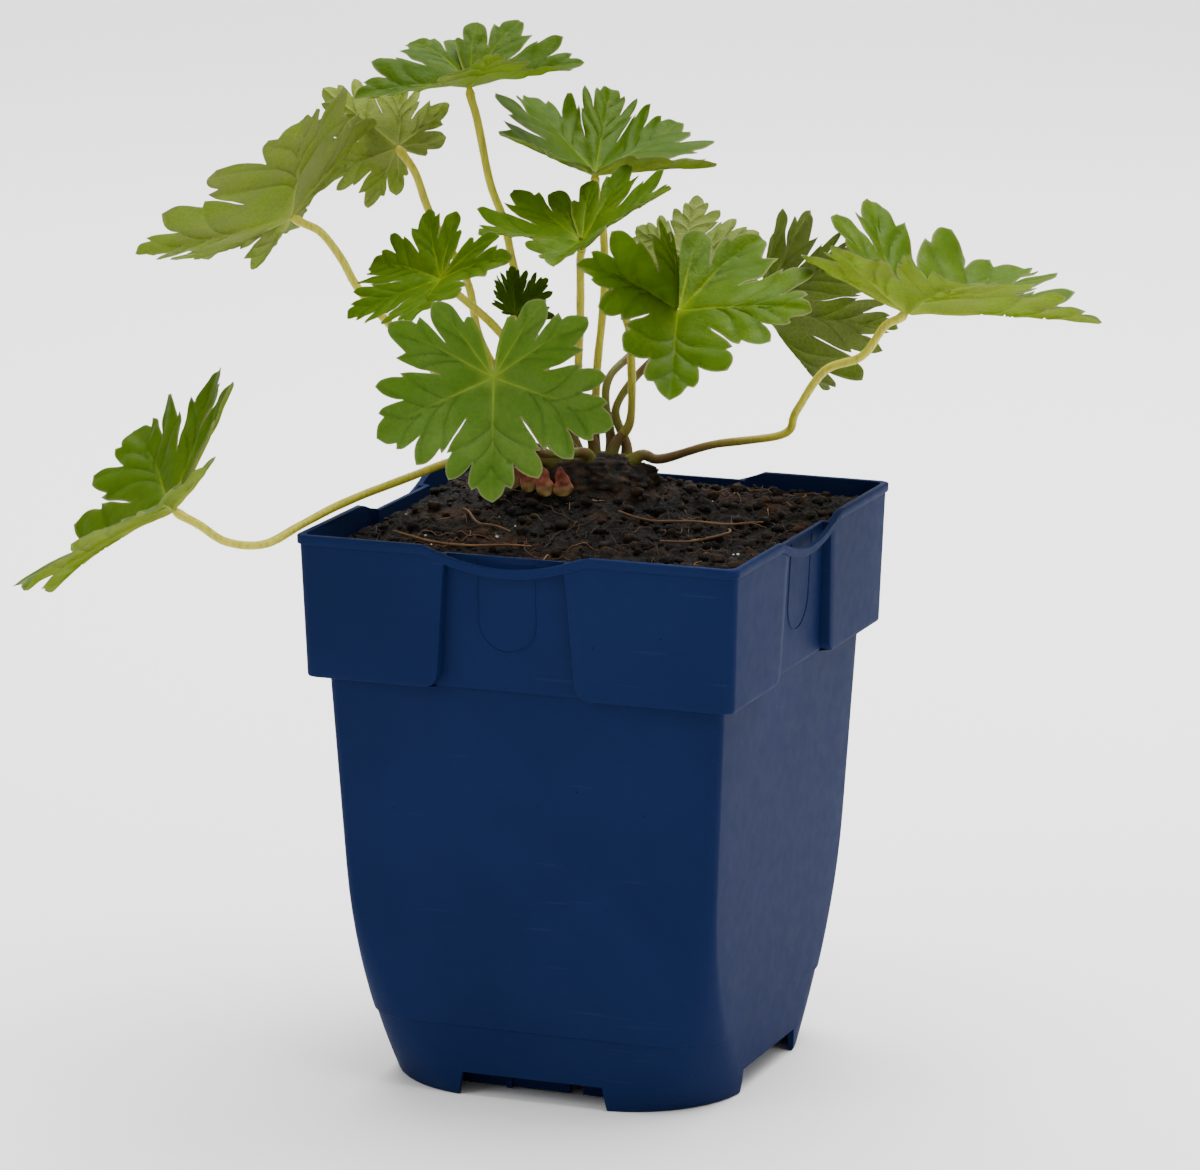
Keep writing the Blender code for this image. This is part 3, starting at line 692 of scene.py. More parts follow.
# %% Close the peat into a solid
def rim_of(faces):
    """The loop of points round an open sheet, in face order."""
    edges = {(a, b) for f in faces for a, b in zip(f, f[1:] + f[:1])}
    onward = {a: b for a, b in edges if (b, a) not in edges}
    start = min(onward)
    loop = [start]
    while onward[loop[-1]] != start:
        loop.append(onward[loop[-1]])
    return loop


PEAT_SIDE_LEVELS = (119.0, COLLAR_FOOT + 1.2, COLLAR_FOOT - 1.0, 70.0, 40.0, 26.0, 17.0, 12.0, BASE_TOP + 0.3)
peat_points = [Vector((p.x, p.y, peat_height(p.x, p.y))) for p in sheet]
loop = rim_of(peat_faces)
ways = [sheet[i].normalized() for i in loop]
upper = loop
for z in PEAT_SIDE_LEVELS:
    ring = wall_ring(z)
    lower = list(range(len(peat_points), len(peat_points) + len(ways)))
    for way in ways:
        far = way * reach_in(way, ring)
        peat_points.append(Vector((far.x, far.y, z)))
    pairs = list(zip(upper, lower))
    peat_faces += [(a, b, d, c) for (a, b), (c, d) in zip(pairs, pairs[1:] + pairs[:1])]
    upper = lower
peat_faces.append(tuple(reversed(upper)))
print("closed peat has", len(peat_points), "points")

# %% [markdown]
# ## The peat's finish
# Damp peat swallows light, so the base is very dark and fully rough. Height above the mound is painted on
# each point: the tops of the clods are a warmer brown, and the gaps between them are painted near black as
# painted shade. Fine grain in the bump carries the texture on below the size of the mesh.

# %% Peat finish and piece
def peat_finish():
    r = Recipe("damp_peat")
    # Low points between the clods are painted near black: painted shade.
    base = r.mix(r.ease(r.painted("lift"), 0.25, 0.85), (0.0028, 0.0019, 0.0014), (0.019, 0.0110, 0.0062))
    warm = r.ease(r.grain(75, 3), 0.52, 0.68, 0.0, 0.75)
    base = r.mix(warm, base, (0.036, 0.015, 0.0065))
    grit = r.ease(r.grain(2300, 3), 0.62, 0.72, 0.0, 0.55)
    r.colour(r.mix(grit, base, (0.060, 0.034, 0.017)))
    r.roughen(r.grain(400, 2), 0.82, 1.0)
    r.bump(r.plus(r.grain(1500, 5), r.times(r.cells(1100), 0.5)), 0.5)
    r.set(Specular_IOR_Level=0.22)
    return r.finish


damp_peat = peat_finish()
peat = make_piece("peat", peat_points, peat_faces, [damp_peat], ["potting_soil"], soft_edge=180)
# Height above the mound, which the finish turns into painted shade in the gaps.
lift = [min(1.0, max(0.0, (p.z - mound_height(p.x, p.y) + 1.3) / 3.2)) for p in peat_points]
paint(peat, "lift", lift)
print("peat piece has", len(peat.data.polygons), "faces")

# %% [markdown]
# ## Loose crumbs, fibres and pale grains
# On top of the relief lie separate bits: crumbs of peat, root fibres and splinters in golden to reddish
# brown, and a few white grains. Each bit is a small closed shape of its own. They are gathered in three
# pieces, because hundreds of separate objects would only be harder to handle. A seeded draw keeps them in
# the same places.

# %% Loose crumbs
CRUMB_COUNT = 1100
CROWN_KEEP_OFF = (15.5, 10.5)
draw = np.random.default_rng(11)


def clear_spot(reach=49.5, room=1.2):
    """A spot on the peat that isn't under the crown."""
    while True:
        x, y = draw.uniform(-reach, reach, 2)
        side, depth = to_crown(x, y)
        outside = (side / CROWN_KEEP_OFF[0]) ** 2 + (depth / CROWN_KEEP_OFF[1]) ** 2 > 1
        if outside and wall_room(x, y) > room:
            return x, y


def ball_pattern():
    """Points and faces of a ball of 80 triangles, which each crumb bends its own way."""
    pattern = bmesh.new()
    bmesh.ops.create_icosphere(pattern, subdivisions=2, radius=1.0)
    points = [v.co.copy() for v in pattern.verts]
    faces = [tuple(v.index for v in f.verts) for f in pattern.faces]
    pattern.free()
    return points, faces


BALL = ball_pattern()


def add_lump(points, faces, centre, radius, squash, seed):
    lump = []
    turn = Matrix.Rotation(seed * 2.4, 3, "Z") @ Matrix.Rotation(seed * 1.7, 3, "X")
    for p in BALL[0]:
        swell = 1.0 + 0.42 * noise.noise(p * 1.5 + Vector((seed, 0, 0)))
        swell += 0.18 * noise.noise(p * 4.0 + Vector((0, seed, 0)))
        q = turn @ (p * swell * radius)
        lump.append(centre + Vector((q.x, q.y, q.z * squash)))
    add_shape(points, faces, lump, BALL[1])


def scatter(count, sizes, sink, squash, room=1.2):
    points, faces, shades = [], [], []
    for k in range(count):
        x, y = clear_spot(room=room)
        radius = sizes[0] + (sizes[1] - sizes[0]) * draw.random() ** 3
        centre = Vector((x, y, peat_height(x, y) + radius * sink))
        add_lump(points, faces, centre, radius, squash, k * 0.37 + count)
        shades += [draw.random() ** 1.5] * len(BALL[0])
    return points, faces, shades


points, faces, shades = scatter(CRUMB_COUNT, (0.30, 1.70), 0.30, 0.75)
crumbs = make_piece("peat_crumbs", points, faces, [damp_peat], soft_edge=180)
# On the crumbs this layer holds a random tone for each crumb.
paint(crumbs, "lift", np.array(shades) * 1.1)
print("crumbs:", len(crumbs.data.polygons), "faces")

# %% Pale grains
PALE_GRAIN_COUNT = 26


def grain_finish():
    r = Recipe("pale_grain")
    r.colour(r.mix(r.grain(900, 3), (0.32, 0.30, 0.26), (0.80, 0.79, 0.74)))
    r.bump(r.grain(2500, 3), 0.1)
    r.set(Roughness=0.75)
    return r.finish


points, faces, shades = scatter(PALE_GRAIN_COUNT, (0.14, 0.46), 0.65, 0.80, room=2.0)
pale = make_piece("pale_grains", points, faces, [grain_finish()], soft_edge=180)
print("pale grains:", len(pale.data.polygons), "faces")

# %% [markdown]
# Fibres are tubes that wander over the crumbs and taper at both ends. Each starts somewhere on the peat in
# a random direction, turns a little at every step and stays a hair above the relief. Most are short
# splinters, and a few are long pale roots. How far a fibre has dried is painted on it, so that one finish
# covers the range from dark red-brown to straw.

# %% Fibres on the peat
FIBRE_POINTS = 11000
FIBRE_SIDES = 5
LONG_SHARE = 0.18


def fibre_finish():
    r = Recipe("root_fibre")
    tone = r.painted("tone")
    dark = r.mix(r.ease(tone, 0.0, 0.5), (0.016, 0.007, 0.004), (0.105, 0.045, 0.016))
    r.colour(r.mix(r.ease(tone, 0.5, 1.0), dark, (0.340, 0.200, 0.080)))
    r.bump(r.grain(1800, 3), 0.12)
    r.set(Roughness=0.7, Specular_IOR_Level=0.3)
    return r.finish


straw = fibre_finish()


def wander(x, y, heading, length, curl, lift):
    """A path over the peat from a spot, or None where it would leave the pot."""
    steps = max(6, int(length / 1.1))
    path = []
    nearby = ((0, 0), (1, 0), (-1, 0), (0, 1), (0, -1))
    for k in range(steps + 1):
        if wall_room(x, y) < 0.9:
            return None
        arch = lift * sin(pi * k / steps)
        ground = max(peat_height(x + a * 0.3, y + b * 0.3) for a, b in nearby)
        path.append(Vector((x, y, ground + 0.1 + arch)))
        heading += curl + 0.35 * noise.noise(Vector((x * 0.4, y * 0.4, length)))
        x += cos(heading) * length / steps
        y += sin(heading) * length / steps
    return path


def add_fibre(points, faces, tones, path, radius, tone):
    path = smooth_path(path, max(8, int(len(path) * 1.6)))
    last = len(path) - 1
    radii = [radius * (0.35 + 0.65 * sin(pi * min(0.96, 0.04 + k / last)) ** 0.5) for k in range(last + 1)]
    tube = skin(tube_rings(path, radii, FIBRE_SIDES))
    add_shape(points, faces, *tube)
    tones += [tone] * len(tube[0])


points, faces, tones = [], [], []
while len(tones) < FIBRE_POINTS:
    x, y = clear_spot(48.0)
    long = draw.random() < LONG_SHARE
    length = draw.uniform(14, 34) if long else draw.uniform(2.5, 9)
    path = wander(x, y, draw.uniform(0, 2 * pi), length, draw.normal(0, 0.05), draw.uniform(0.0, 0.9))
    radius = draw.uniform(0.09, 0.17) if long else draw.uniform(0.05, 0.14)
    if path:
        add_fibre(points, faces, tones, path, radius, draw.beta(1.1, 2.1))
fibres = make_piece("root_fibres", points, faces, [straw], soft_edge=80)
paint(fibres, "tone", tones)
print("fibres:", len(fibres.data.polygons), "faces")

# %% [markdown]
# Four roots stand out enough to be pieces of their own in the solid model: two that arch over the right of
# the pot, and two that lie along the front and the left. They get more points, and small knots along their
# length.

# %% Surface roots
ROOT_POINTS = 90
ROOT_RADIUS = 0.30
SURFACE_ROOTS = {
    "surface_root_1": ((6, -3), (16, -4), (28, 0), (38, 5)),
    "surface_root_2": ((24, -24), (31, -17), (35, -10), (33, -4)),
    "surface_root_3": ((-38, -30), (-27, -37), (-14, -39), (-2, -36)),
    "surface_root_4": ((-30, -8), (-22, -18), (-12, -24)),
}
for number, (node, spots) in enumerate(SURFACE_ROOTS.items(), 1):
    path = smooth_path([(x, y, 0) for x, y in spots], 70)
    for p in path:
        p.z = max(mound_height(p.x, p.y) + 1.15, peat_height(p.x, p.y) + 0.3)
    path = smooth_path(path[::4] + [path[-1]], ROOT_POINTS)
    radii = []
    for k in range(ROOT_POINTS):
        taper = 0.55 + 0.45 * sin(pi * min(0.97, 0.03 + k / (ROOT_POINTS - 1))) ** 0.4
        radii.append(ROOT_RADIUS * taper + 0.03 * sin(k * 1.1))
    points, faces = skin(tube_rings(path, radii, 8, 0.25, number))
    root = make_piece(f"root_strand_{number}", points, faces, [straw], [node], soft_edge=80)
    paint(root, "tone", [0.58 + 0.2 * noise.noise(p * 0.2) for p in points])
print("surface roots:", len(SURFACE_ROOTS))

# %% [markdown]
# ## The crown
# All the stalks rise from one woody crown that sits half in the peat. It is a knobbly brown rootstock,
# ribbed where old stalks have rotted off, nearly black at the base and greener where this year's stalks
# leave it. It is drawn as an oval of rings whose radius follows ridges and knobs.

# %% Where the stalks stand on the crown
CROWN_DOME = 0.95
STALK_FEET = {
    "front_low": (-1.2, -3.8), "far_right": (9.5, -0.5), "top": (-3.5, 4.8), "upper_back_left": (-7.5, 4.0),
    "upper_left": (-10.0, 0.8), "upper_mid": (0.5, 5.2), "bright_mid": (0.4, 1.4), "mid_left": (-5.4, -2.9),
    "bright_right": (4.6, 0.6), "back_right": (7.8, 3.4), "back_mid": (4.2, 4.6), "far_left": (-9.2, -3.4),
    "young": (-4.0, 0.9),
}


def crown_top(side, depth):
    """The crown's surface over a spot, and the way it faces."""
    a, b, c = CROWN_REACH
    rise = (1 - (side / a) ** 2 - (depth / b) ** 2) ** 0.5
    x, y = from_crown(side, depth)
    ahead = from_crown(side / a ** 2, depth / b ** 2)
    facing = Vector((ahead[0] - CROWN_MIDDLE.x, ahead[1] - CROWN_MIDDLE.y, rise / c))
    return Vector((x, y, CROWN_MIDDLE.z + c * CROWN_DOME * rise)), facing.normalized()


print("stalk feet:", len(STALK_FEET))

# %% Crown
CROWN_LEVELS = 60
CROWN_SIDES = 150


def bark_finish():
    r = Recipe("rootstock_bark")
    base = r.mix(r.ease(r.grain(420, 4), 0.40, 0.70), (0.0040, 0.0026, 0.0019), (0.036, 0.018, 0.009))
    green = r.mix(r.grain(500, 3), (0.050, 0.035, 0.008), (0.120, 0.100, 0.024))
    r.colour(r.mix(r.ease(r.painted("foot"), 0.25, 0.90, 0.0, 0.9), base, green))
    r.bump(r.grain(700, 5, (1.0, 1.0, 0.3)), 0.6)
    r.set(Roughness=0.85, Specular_IOR_Level=0.25)
    return r.finish


def crown_rings():
    rings = []
    for level in np.linspace(-70, 86, CROWN_LEVELS):
        ring = []
        round_off = cos(radians(level))
        for step in range(CROWN_SIDES):
            angle = 2 * pi * step / CROWN_SIDES
            way = Vector((cos(angle) * round_off * 14, sin(angle) * round_off * 10, level * 0.12))
            ridge = 0.05 * sin(angle * 9 + 2 * sin(level * 0.03))
            ridge += 0.07 * clods(way.x, way.y + way.z, 3.0, 4.0)
            knob = 0.16 * noise.noise(way * 0.15) + 0.10 * noise.fractal(way * 0.7, 1.0, 2.0, 4)
            out = round_off * (1.0 + ridge + knob)
            x, y = from_crown(CROWN_REACH[0] * out * cos(angle), CROWN_REACH[1] * out * sin(angle))
            rise = CROWN_REACH[2] * CROWN_DOME * sin(radians(level)) * (1 + 0.5 * knob)
            ring.append(Vector((x, y, CROWN_MIDDLE.z + rise)))
        rings.append(ring)
    return rings


points, faces = skin(crown_rings())
crown = make_piece("rootstock", points, faces, [bark_finish()], ["crown"], soft_edge=180)
feet = [crown_top(*spot)[0] for spot in STALK_FEET.values()]
paint(crown, "foot", [sum(exp(-((p - foot).length / 2.4) ** 2) for foot in feet) for p in points])
print("crown top stands at", round(max(p.z for p in points), 1), "mm")

# %% [markdown]
# Papery scales wrap the foot of the stalks on the side towards the front. Each is a thin shell that is
# cupped across and pointed at its tip, rusty red above and yellower where it is torn at the foot.

# %% Bud scales
BUD_SCALES = (
    (-17.4, -2.5, -28, 9.0), (-13.6, -8.6, -22, 8.0), (-6.5, -11.8, -6, 7.0), (-10.4, -11.4, -14, 8.5),
)
SCALE_HALF_WIDE = 2.6
SCALE_HALF_DEEP = 0.95
SCALE_LEVELS = 24
SCALE_SIDES = 24


def scale_finish():
    r = Recipe("bud_scale")
    base = r.mix(r.ease(r.grain(330, 4), 0.35, 0.65), (0.110, 0.018, 0.010), (0.340, 0.095, 0.048))
    foot = r.mix(r.grain(500, 3), (0.120, 0.060, 0.015), (0.300, 0.190, 0.055))
    r.colour(r.mix(r.ease(r.painted("along"), 0.12, 0.42), foot, base))
    r.bump(r.grain(1200, 3, (1.0, 1.0, 0.15)), 0.2)
    r.set(Roughness=0.5, Subsurface_Weight=0.15, Subsurface_Scale=0.001)
    return r.finish


def scale_points(side, depth, lean, length):
    x, y = from_crown(side, depth)
    foot = Vector((x, y, mound_height(x, y) + 0.2))
    tilt = Matrix.Rotation(VIEW_TURN, 3, "Z") @ Matrix.Rotation(radians(lean), 3, "Y")
    rings, along = [], []
    for step in range(SCALE_LEVELS + 1):
        level = step / SCALE_LEVELS
        bulge_out = 0.55 + 0.45 * sin(pi * min(0.5, level * 1.9))
        wide = SCALE_HALF_WIDE * bulge_out * (1.0 - level) ** 0.62 + 0.05
        thick = SCALE_HALF_DEEP * (1.0 - 0.75 * level) * min(1.0, wide)
        ring = []
        for turn in range(SCALE_SIDES):
            angle = 2 * pi * turn / SCALE_SIDES
            bulge = 0.6 * cos(angle) ** 2 * (1 - level)
            spot = Vector((wide * cos(angle), thick * sin(angle) + bulge - 1.2 * level ** 2, length * level))
            spot += Vector((0.5 * noise.noise(spot * 0.5 + foot), 0.3 * noise.noise(spot * 0.9 + foot), 0))
            ring.append(foot + tilt @ spot)
        rings.append(ring)
        along += [level] * SCALE_SIDES
    return rings, along


scales = scale_finish()
for number, row in enumerate(BUD_SCALES, 1):
    rings, along = scale_points(*row)
    points, faces = skin(rings)
    solid = f"bud_scale_{number}"
    husk = make_piece(f"husk_{number}", points, faces, [scales], [solid], soft_edge=70)
    paint(husk, "along", along)
print("bud scales:", len(BUD_SCALES))

# %% [markdown]
# ## One blade's outline
# A cranesbill leaf is cut into lobes like fingers of a hand, and each lobe is cut again into blunt teeth.
# The outline is given once, for half a leaf, as an angle from the middle lobe, a reach where 1 is the
# middle lobe's length, and whether the point is a sharp corner. The two side lobes repeat the middle lobe's
# outline, turned.

# %% Half outline and rounding
LOBE_EDGE = ((4.6, 0.955, 0), (7.1, 0.885, 1), (9.5, 0.915, 1), (11.6, 0.87, 0), (12.4, 0.79, 0),
             (12.4, 0.71, 1), (14.6, 0.775, 0), (18.3, 0.845, 0), (22.5, 0.895, 1), (25.9, 0.85, 0),
             (27.6, 0.78, 0), (27.6, 0.69, 1), (30.2, 0.715, 1), (31.2, 0.63, 0), (31.0, 0.50, 0))
FOOT_EDGE = ((93.5, 0.48, 0), (95.5, 0.60, 0), (100.4, 0.785, 1), (105.0, 0.72, 1), (109.5, 0.84, 0),
             (112.5, 0.90, 0), (116.3, 0.92, 1), (120.3, 0.86, 0), (123.3, 0.79, 0), (123.8, 0.735, 1),
             (128.5, 0.75, 1), (128.5, 0.63, 0), (125.2, 0.47, 1), (130.5, 0.61, 0), (134.0, 0.70, 0),
             (139.9, 0.755, 1), (145.5, 0.72, 0), (150.5, 0.65, 0), (153.0, 0.49, 1), (158.0, 0.515, 0),
             (162.5, 0.49, 1), (165.5, 0.36, 0), (169.0, 0.2, 0))
SIDE_LOBE = 62.2
SINUS_ONE, SINUS_TWO = (32.3, 0.405, 1), (91.8, 0.43, 1)
STALK_NOTCH = (178.0, 0.045, 0)


def half_outline():
    outer = [p for p in LOBE_EDGE if p[1] > 0.5]
    near = [(SIDE_LOBE - a * 0.97, r * 1.04, c) for a, r, c in reversed(outer)]
    far = [(SIDE_LOBE + a * 0.97, r * 1.03, c) for a, r, c in outer]
    return [(0, 1.0, 1), *LOBE_EDGE, SINUS_ONE, *near, (SIDE_LOBE, 1.04, 1), *far, SINUS_TWO, *FOOT_EDGE]


def rounded(marks, step):
    """Points every step along a soft closed line that turns sharply only at the marked corners."""
    spots = [Vector((r * cos(radians(a)), r * sin(radians(a)))) for a, r, c in marks]
    line = []
    for k in range(len(spots)):
        here, there = spots[k], spots[(k + 1) % len(spots)]
        gap = (there - here).length
        sharp_here, sharp_there = marks[k][2], marks[(k + 1) % len(marks)][2]
        leave = (there - (here if sharp_here else spots[k - 1])).normalized() * gap
        arrive = ((there if sharp_there else spots[(k + 2) % len(spots)]) - here).normalized() * gap
        count = max(1, round(gap / step))
        for part in range(count):
            t = part / count
            line.append(here * (2 * t ** 3 - 3 * t ** 2 + 1) + leave * (t ** 3 - 2 * t ** 2 + t)
                        + there * (3 * t ** 2 - 2 * t ** 3) + arrive * (t ** 3 - t ** 2))
    return line


half = half_outline()
marks = [*half, STALK_NOTCH, (-STALK_NOTCH[0], *STALK_NOTCH[1:]), *[(-a, r, c) for a, r, c in half[:0:-1]]]
outline = rounded(marks, 0.016)
print("blade outline has", len(outline), "points")

# %% [markdown]
# ## Veins
# One main vein runs from the stalk to the tip of each lobe, and side veins leave it at a narrow angle, one
# to each tooth. On the upper side veins lie in grooves, and on the underside they stand out as ribs. The
# veins are drawn as curves on the flat blade, and the distance from each point of the blade to the nearest
# vein gives groove, rib and colour.

# %% Vein lines on the flat blade
MAIN_VEINS = ((0, 0.985), (SIDE_LOBE, 1.02), (114.5, 0.90), (140.0, 0.74), (161.0, 0.47))
TOOTH_VEINS = ((9.5, 0.885, 0.68), (22.5, 0.865, 0.47), (30.0, 0.69, 0.33))
FOOT_VEINS = ((114.5, 100.6, 0.76, 0.40), (114.5, 125.5, 0.72, 0.42), (114.5, 97.0, 0.58, 0.26),
              (140.0, 149.5, 0.63, 0.36), (140.0, 132.0, 0.62, 0.34), (114.5, 112.0, 0.86, 0.66))


def polar(angle, reach):
    return Vector((reach * cos(radians(angle)), reach * sin(radians(angle))))


def side_vein(axis, angle, reach, start):
    """A vein that leaves the main vein at start and curves out to a tooth."""
    foot, tip = polar(axis, start), polar(angle, reach)
    guide = polar(axis, start + (reach - start) * 0.38).lerp(tip, 0.12)
    return [foot * (1 - t) ** 2 + guide * 2 * t * (1 - t) + tip * t ** 2 for t in np.linspace(0, 1, 12)]


MAIN_WIDTH, SIDE_WIDTH = 0.0105, 0.0085


def all_veins():
    """Each vein as (path, width at its foot, rank), where rank 1 is a main vein."""
    veins = []
    for mirror in (1, -1):
        for angle, reach in MAIN_VEINS:
            if angle or mirror == 1:
                bow = 3.0 * mirror if angle else 0.0
                path = [polar(angle * mirror + bow * sin(pi * t), reach * t) for t in np.linspace(0, 1, 24)]
                veins.append((path, MAIN_WIDTH, 1.0))
        for axis, stretch in ((0, 1.0), (SIDE_LOBE, 1.03)):
            for angle, reach, start in TOOTH_VEINS:
                for way in (1, -1) if axis else (1,):
                    aim = axis * mirror + way * angle * mirror * 0.98
                    path = side_vein(axis * mirror, aim, reach * stretch, start + 0.03 * way)
                    veins.append((path, SIDE_WIDTH, 0.6))
        for axis, angle, reach, start in FOOT_VEINS:
            veins.append((side_vein(axis * mirror, angle * mirror, reach, start), SIDE_WIDTH, 0.6))
    return veins


veins = all_veins()
print("blade has", len(veins), "veins")

# %% [markdown]
# ## Triangulating the flat blade
# Rings of points round the stalk would crowd at the centre and smear the teeth. Instead the outline is
# filled with an even grid, plus rows of points along both banks of each vein, and joined by a Delaunay
# triangulation. The same flat blade then serves every leaf, as leaves of one plant share one plan.

# %% Flat blade mesh
BLADE_STEP = 0.024
ROW_STEP = BLADE_STEP * 0.87
VEIN_STEP = 0.020
VEIN_ROOM = 0.0085
FIELD_HALF = 1.15


def vein_points():
    spots = []
    for path, width, rank in veins:
        line = [Vector((*p, 0)) for p in path]
        length = sum((b - a).length for a, b in zip(line, line[1:]))
        row = smooth_path(line, max(6, int(length / VEIN_STEP)))
        for k, p in enumerate(row):
            along = (row[min(k + 1, len(row) - 1)] - row[max(k - 1, 0)]).normalized()
            side = Vector((-along.y, along.x)) * width * (1.25 - 0.6 * k / len(row))
            spots += [p.xy, p.xy + side, p.xy - side]
    return spots


def thinned(spots, taken, room):
    """The spots that keep their distance from those already taken."""
    bins = {}
    kept = []
    for p, fixed in [(q, True) for q in taken] + [(q, False) for q in spots]:
        i, j = int(p.x // room), int(p.y // room)
        near = (q for a in (-1, 0, 1) for b in (-1, 0, 1) for q in bins.get((i + a, j + b), ()))
        if fixed or all((q - p).length > room for q in near):
            bins.setdefault((i, j), []).append(p)
            if not fixed:
                kept.append(p)
    return kept


along_veins = thinned(vein_points(), outline, VEIN_ROOM)
even = [Vector((-FIELD_HALF + i * BLADE_STEP + 0.5 * BLADE_STEP * (j % 2), -FIELD_HALF + j * ROW_STEP))
        for j in range(int(2 * FIELD_HALF / ROW_STEP)) for i in range(int(2 * FIELD_HALF / BLADE_STEP))]
even = thinned(even, outline + along_veins, BLADE_STEP * 0.62)
flat_points, flat_faces = fill_outline([Vector((*p, 0)) for p in outline], along_veins + even)
FACES = np.array([tuple(f) for f in flat_faces])
used, FACES = np.unique(FACES, return_inverse=True)
FACES = FACES.reshape(-1, 3)
FLAT = np.array([tuple(flat_points[k]) for k in used])
print("flat blade has", len(FLAT), "points and", len(FACES), "triangles")

# %% Distance to the veins and to the edge
FAR = 9.0


def line_distance(spots, line):
    """Distance from each spot to a line of points, and how far along the line the nearest place is."""
    best, where = np.full(len(spots), FAR), np.zeros(len(spots))
    line = np.array([tuple(p)[:2] for p in line])
    for k, (a, b) in enumerate(zip(line, line[1:])):
        t = np.clip(((spots - a) @ (b - a)) / max(1e-12, (b - a) @ (b - a)), 0, 1)
        gap = np.hypot(*(spots - a - t[:, None] * (b - a)).T)
        closer = gap < best
        best[closer] = gap[closer]
        where[closer] = ((k + t) / (len(line) - 1))[closer]
    return best, where


near_any = np.full(len(FLAT), FAR)
MAIN = np.zeros(len(FLAT))
SIDE = np.zeros(len(FLAT))
for path, width, rank in veins:
    gap, where = line_distance(FLAT, path)
    taper = width * (1.0 - 0.62 * where)
    mark = np.exp(-(gap / taper) ** 2) * (1.0 - 0.55 * where ** 2)
    if rank == 1:
        MAIN = np.maximum(MAIN, mark)
    else:
        SIDE = np.maximum(SIDE, mark)
    near_any = np.minimum(near_any, gap)
EDGE = line_distance(FLAT, outline + outline[:1])[0]
QUILT = 1.0 - np.exp(-(near_any / 0.05) ** 2)
print("share of the blade that is vein:", round(float((np.maximum(MAIN, SIDE) > 0.5).mean()), 3))

# %% [markdown]
# ## Bending a blade into its place
# No two leaves hang alike. Each leaf is told where its stalk joins, how long its middle lobe is, which way
# that lobe points, and how each lobe rises, curls and turns. The five values for the lobes are eased from
# one lobe to the next, so the blade stays one smooth sheet. The numbers are the solid model's own, so that
# each fine blade lies on its solid one.

# %% The thirteen leaves
Leaf = namedtuple("Leaf", "hub size head tilt roll rise curl turn finish")
LEAVES = {
    "front_low": Leaf((-9, -41, 166), 29, -64, -74, 7,
        (24, 20, 18, 19, 26), (-5, -8, -9, -9, -8), (-1, 0, -1, 3, 2), "mature"),
    "far_right": Leaf((65, 25, 175), 44, 12, -6, -12,
        (18, 13, 9, 16, 35), (-8, -10, -10, 4, 7), (5, -6, 2, -3, 2), "fresh"),
    "top": Leaf((-38, 16, 222), 26, -61, -26, -3,
        (19, 4, 48, 22, 24), (-51, -23, 3, -6, -23), (-33, -26, 6, 22, 30), "deep"),
    "upper_back_left": Leaf((-53, 9, 208), 24, 215, 41, 94,
        (47, 46, 39, 51, 42), (-7, 3, 1, 3, -14), (-3, -6, 2, 10, -3), "mature"),
    "upper_left": Leaf((-69, -16, 195), 36, -108, -15, 52,
        (12, 26, 27, 4, 15), (0, 1, 5, -1, -13), (7, -34, -29, 10, 48), "mature"),
    "upper_mid": Leaf((-11, 26, 202), 32, 117, -2, 21,
        (26, 30, 34, 18, 3), (-4, -2, 0, -4, 2), (-1, 25, 0, -28, 4), "deep"),
    "bright_mid": Leaf((-5, 2, 190), 26, -70, -2, 9,
        (29, 21, 7, 26, 33), (-3, -7, -12, -4, -1), (-21, 5, -13, 3, 26), "fresh"),
    "mid_left": Leaf((-29, -23, 184), 23, -149, -43, -24,
        (14, 11, 20, 30, 13), (-16, -19, -10, -6, -19), (2, -4, -16, -3, 20), "fresh"),
    "bright_right": Leaf((21, -5, 177), 34, -63, -44, 1,
        (88, 54, 30, 37, -4), (-21, -17, -25, -14, -7), (3, -16, -9, 1, 22), "fresh"),
    "back_right": Leaf((23, 46, 170), 32, -21, -45, -50,
        (34, 39, 43, 9, 15), (-2, -2, 5, 7, -3), (14, -7, -7, -2, 0), "shaded"),
    "back_mid": Leaf((-3, 62, 178), 24, -88, 114, 9,
        (25, 43, 42, 43, 25), (-4, 3, -2, 0, -5), (0, 5, -3, -9, 0), "shaded"),
    "far_left": Leaf((-77, -64, 136), 42, -183, -34, -12,
        (26, 22, 8, 15, 13), (0, -2, -19, -12, -10), (4, -3, -6, 0, 1), "fresh"),
    "young": Leaf((-22, 4, 172), 11, -61, 134, 179,
        (24, 40, 30, 54, 47), (-4, 3, -1, 10, 6), (0, 3, 2, 0, -4), "deep"),
}
print("leaves:", len(LEAVES))

# %% Bend a flat blade
LOBE_KNOTS = np.array([-180, -116, -62, 0, 62, 116, 180.0])
LOBE_WAYS = np.array([-140, -114, -62, 0, 62, 114, 140.0])
FOLD = 0.12


def per_lobe(degrees, values):
    spread = np.array([values[0], *values, values[-1]], float)
    k = np.clip(np.searchsorted(LOBE_KNOTS, degrees, side="right") - 1, 0, 5)
    share = (degrees - LOBE_KNOTS[k]) / (LOBE_KNOTS[k + 1] - LOBE_KNOTS[k])
    share = share * share * (3 - 2 * share)
    return spread[k] * (1 - share) + spread[k + 1] * share


def leaf_axes(leaf):
    head, tilt, roll = radians(leaf.head), radians(leaf.tilt), radians(leaf.roll)
    along = Vector((cos(tilt) * cos(head), cos(tilt) * sin(head), sin(tilt)))
    level = Vector((-sin(tilt) * cos(head), -sin(tilt) * sin(head), cos(tilt)))
    normal = level * cos(roll) - level.cross(along) * sin(roll)
    return along, normal.cross(along), normal


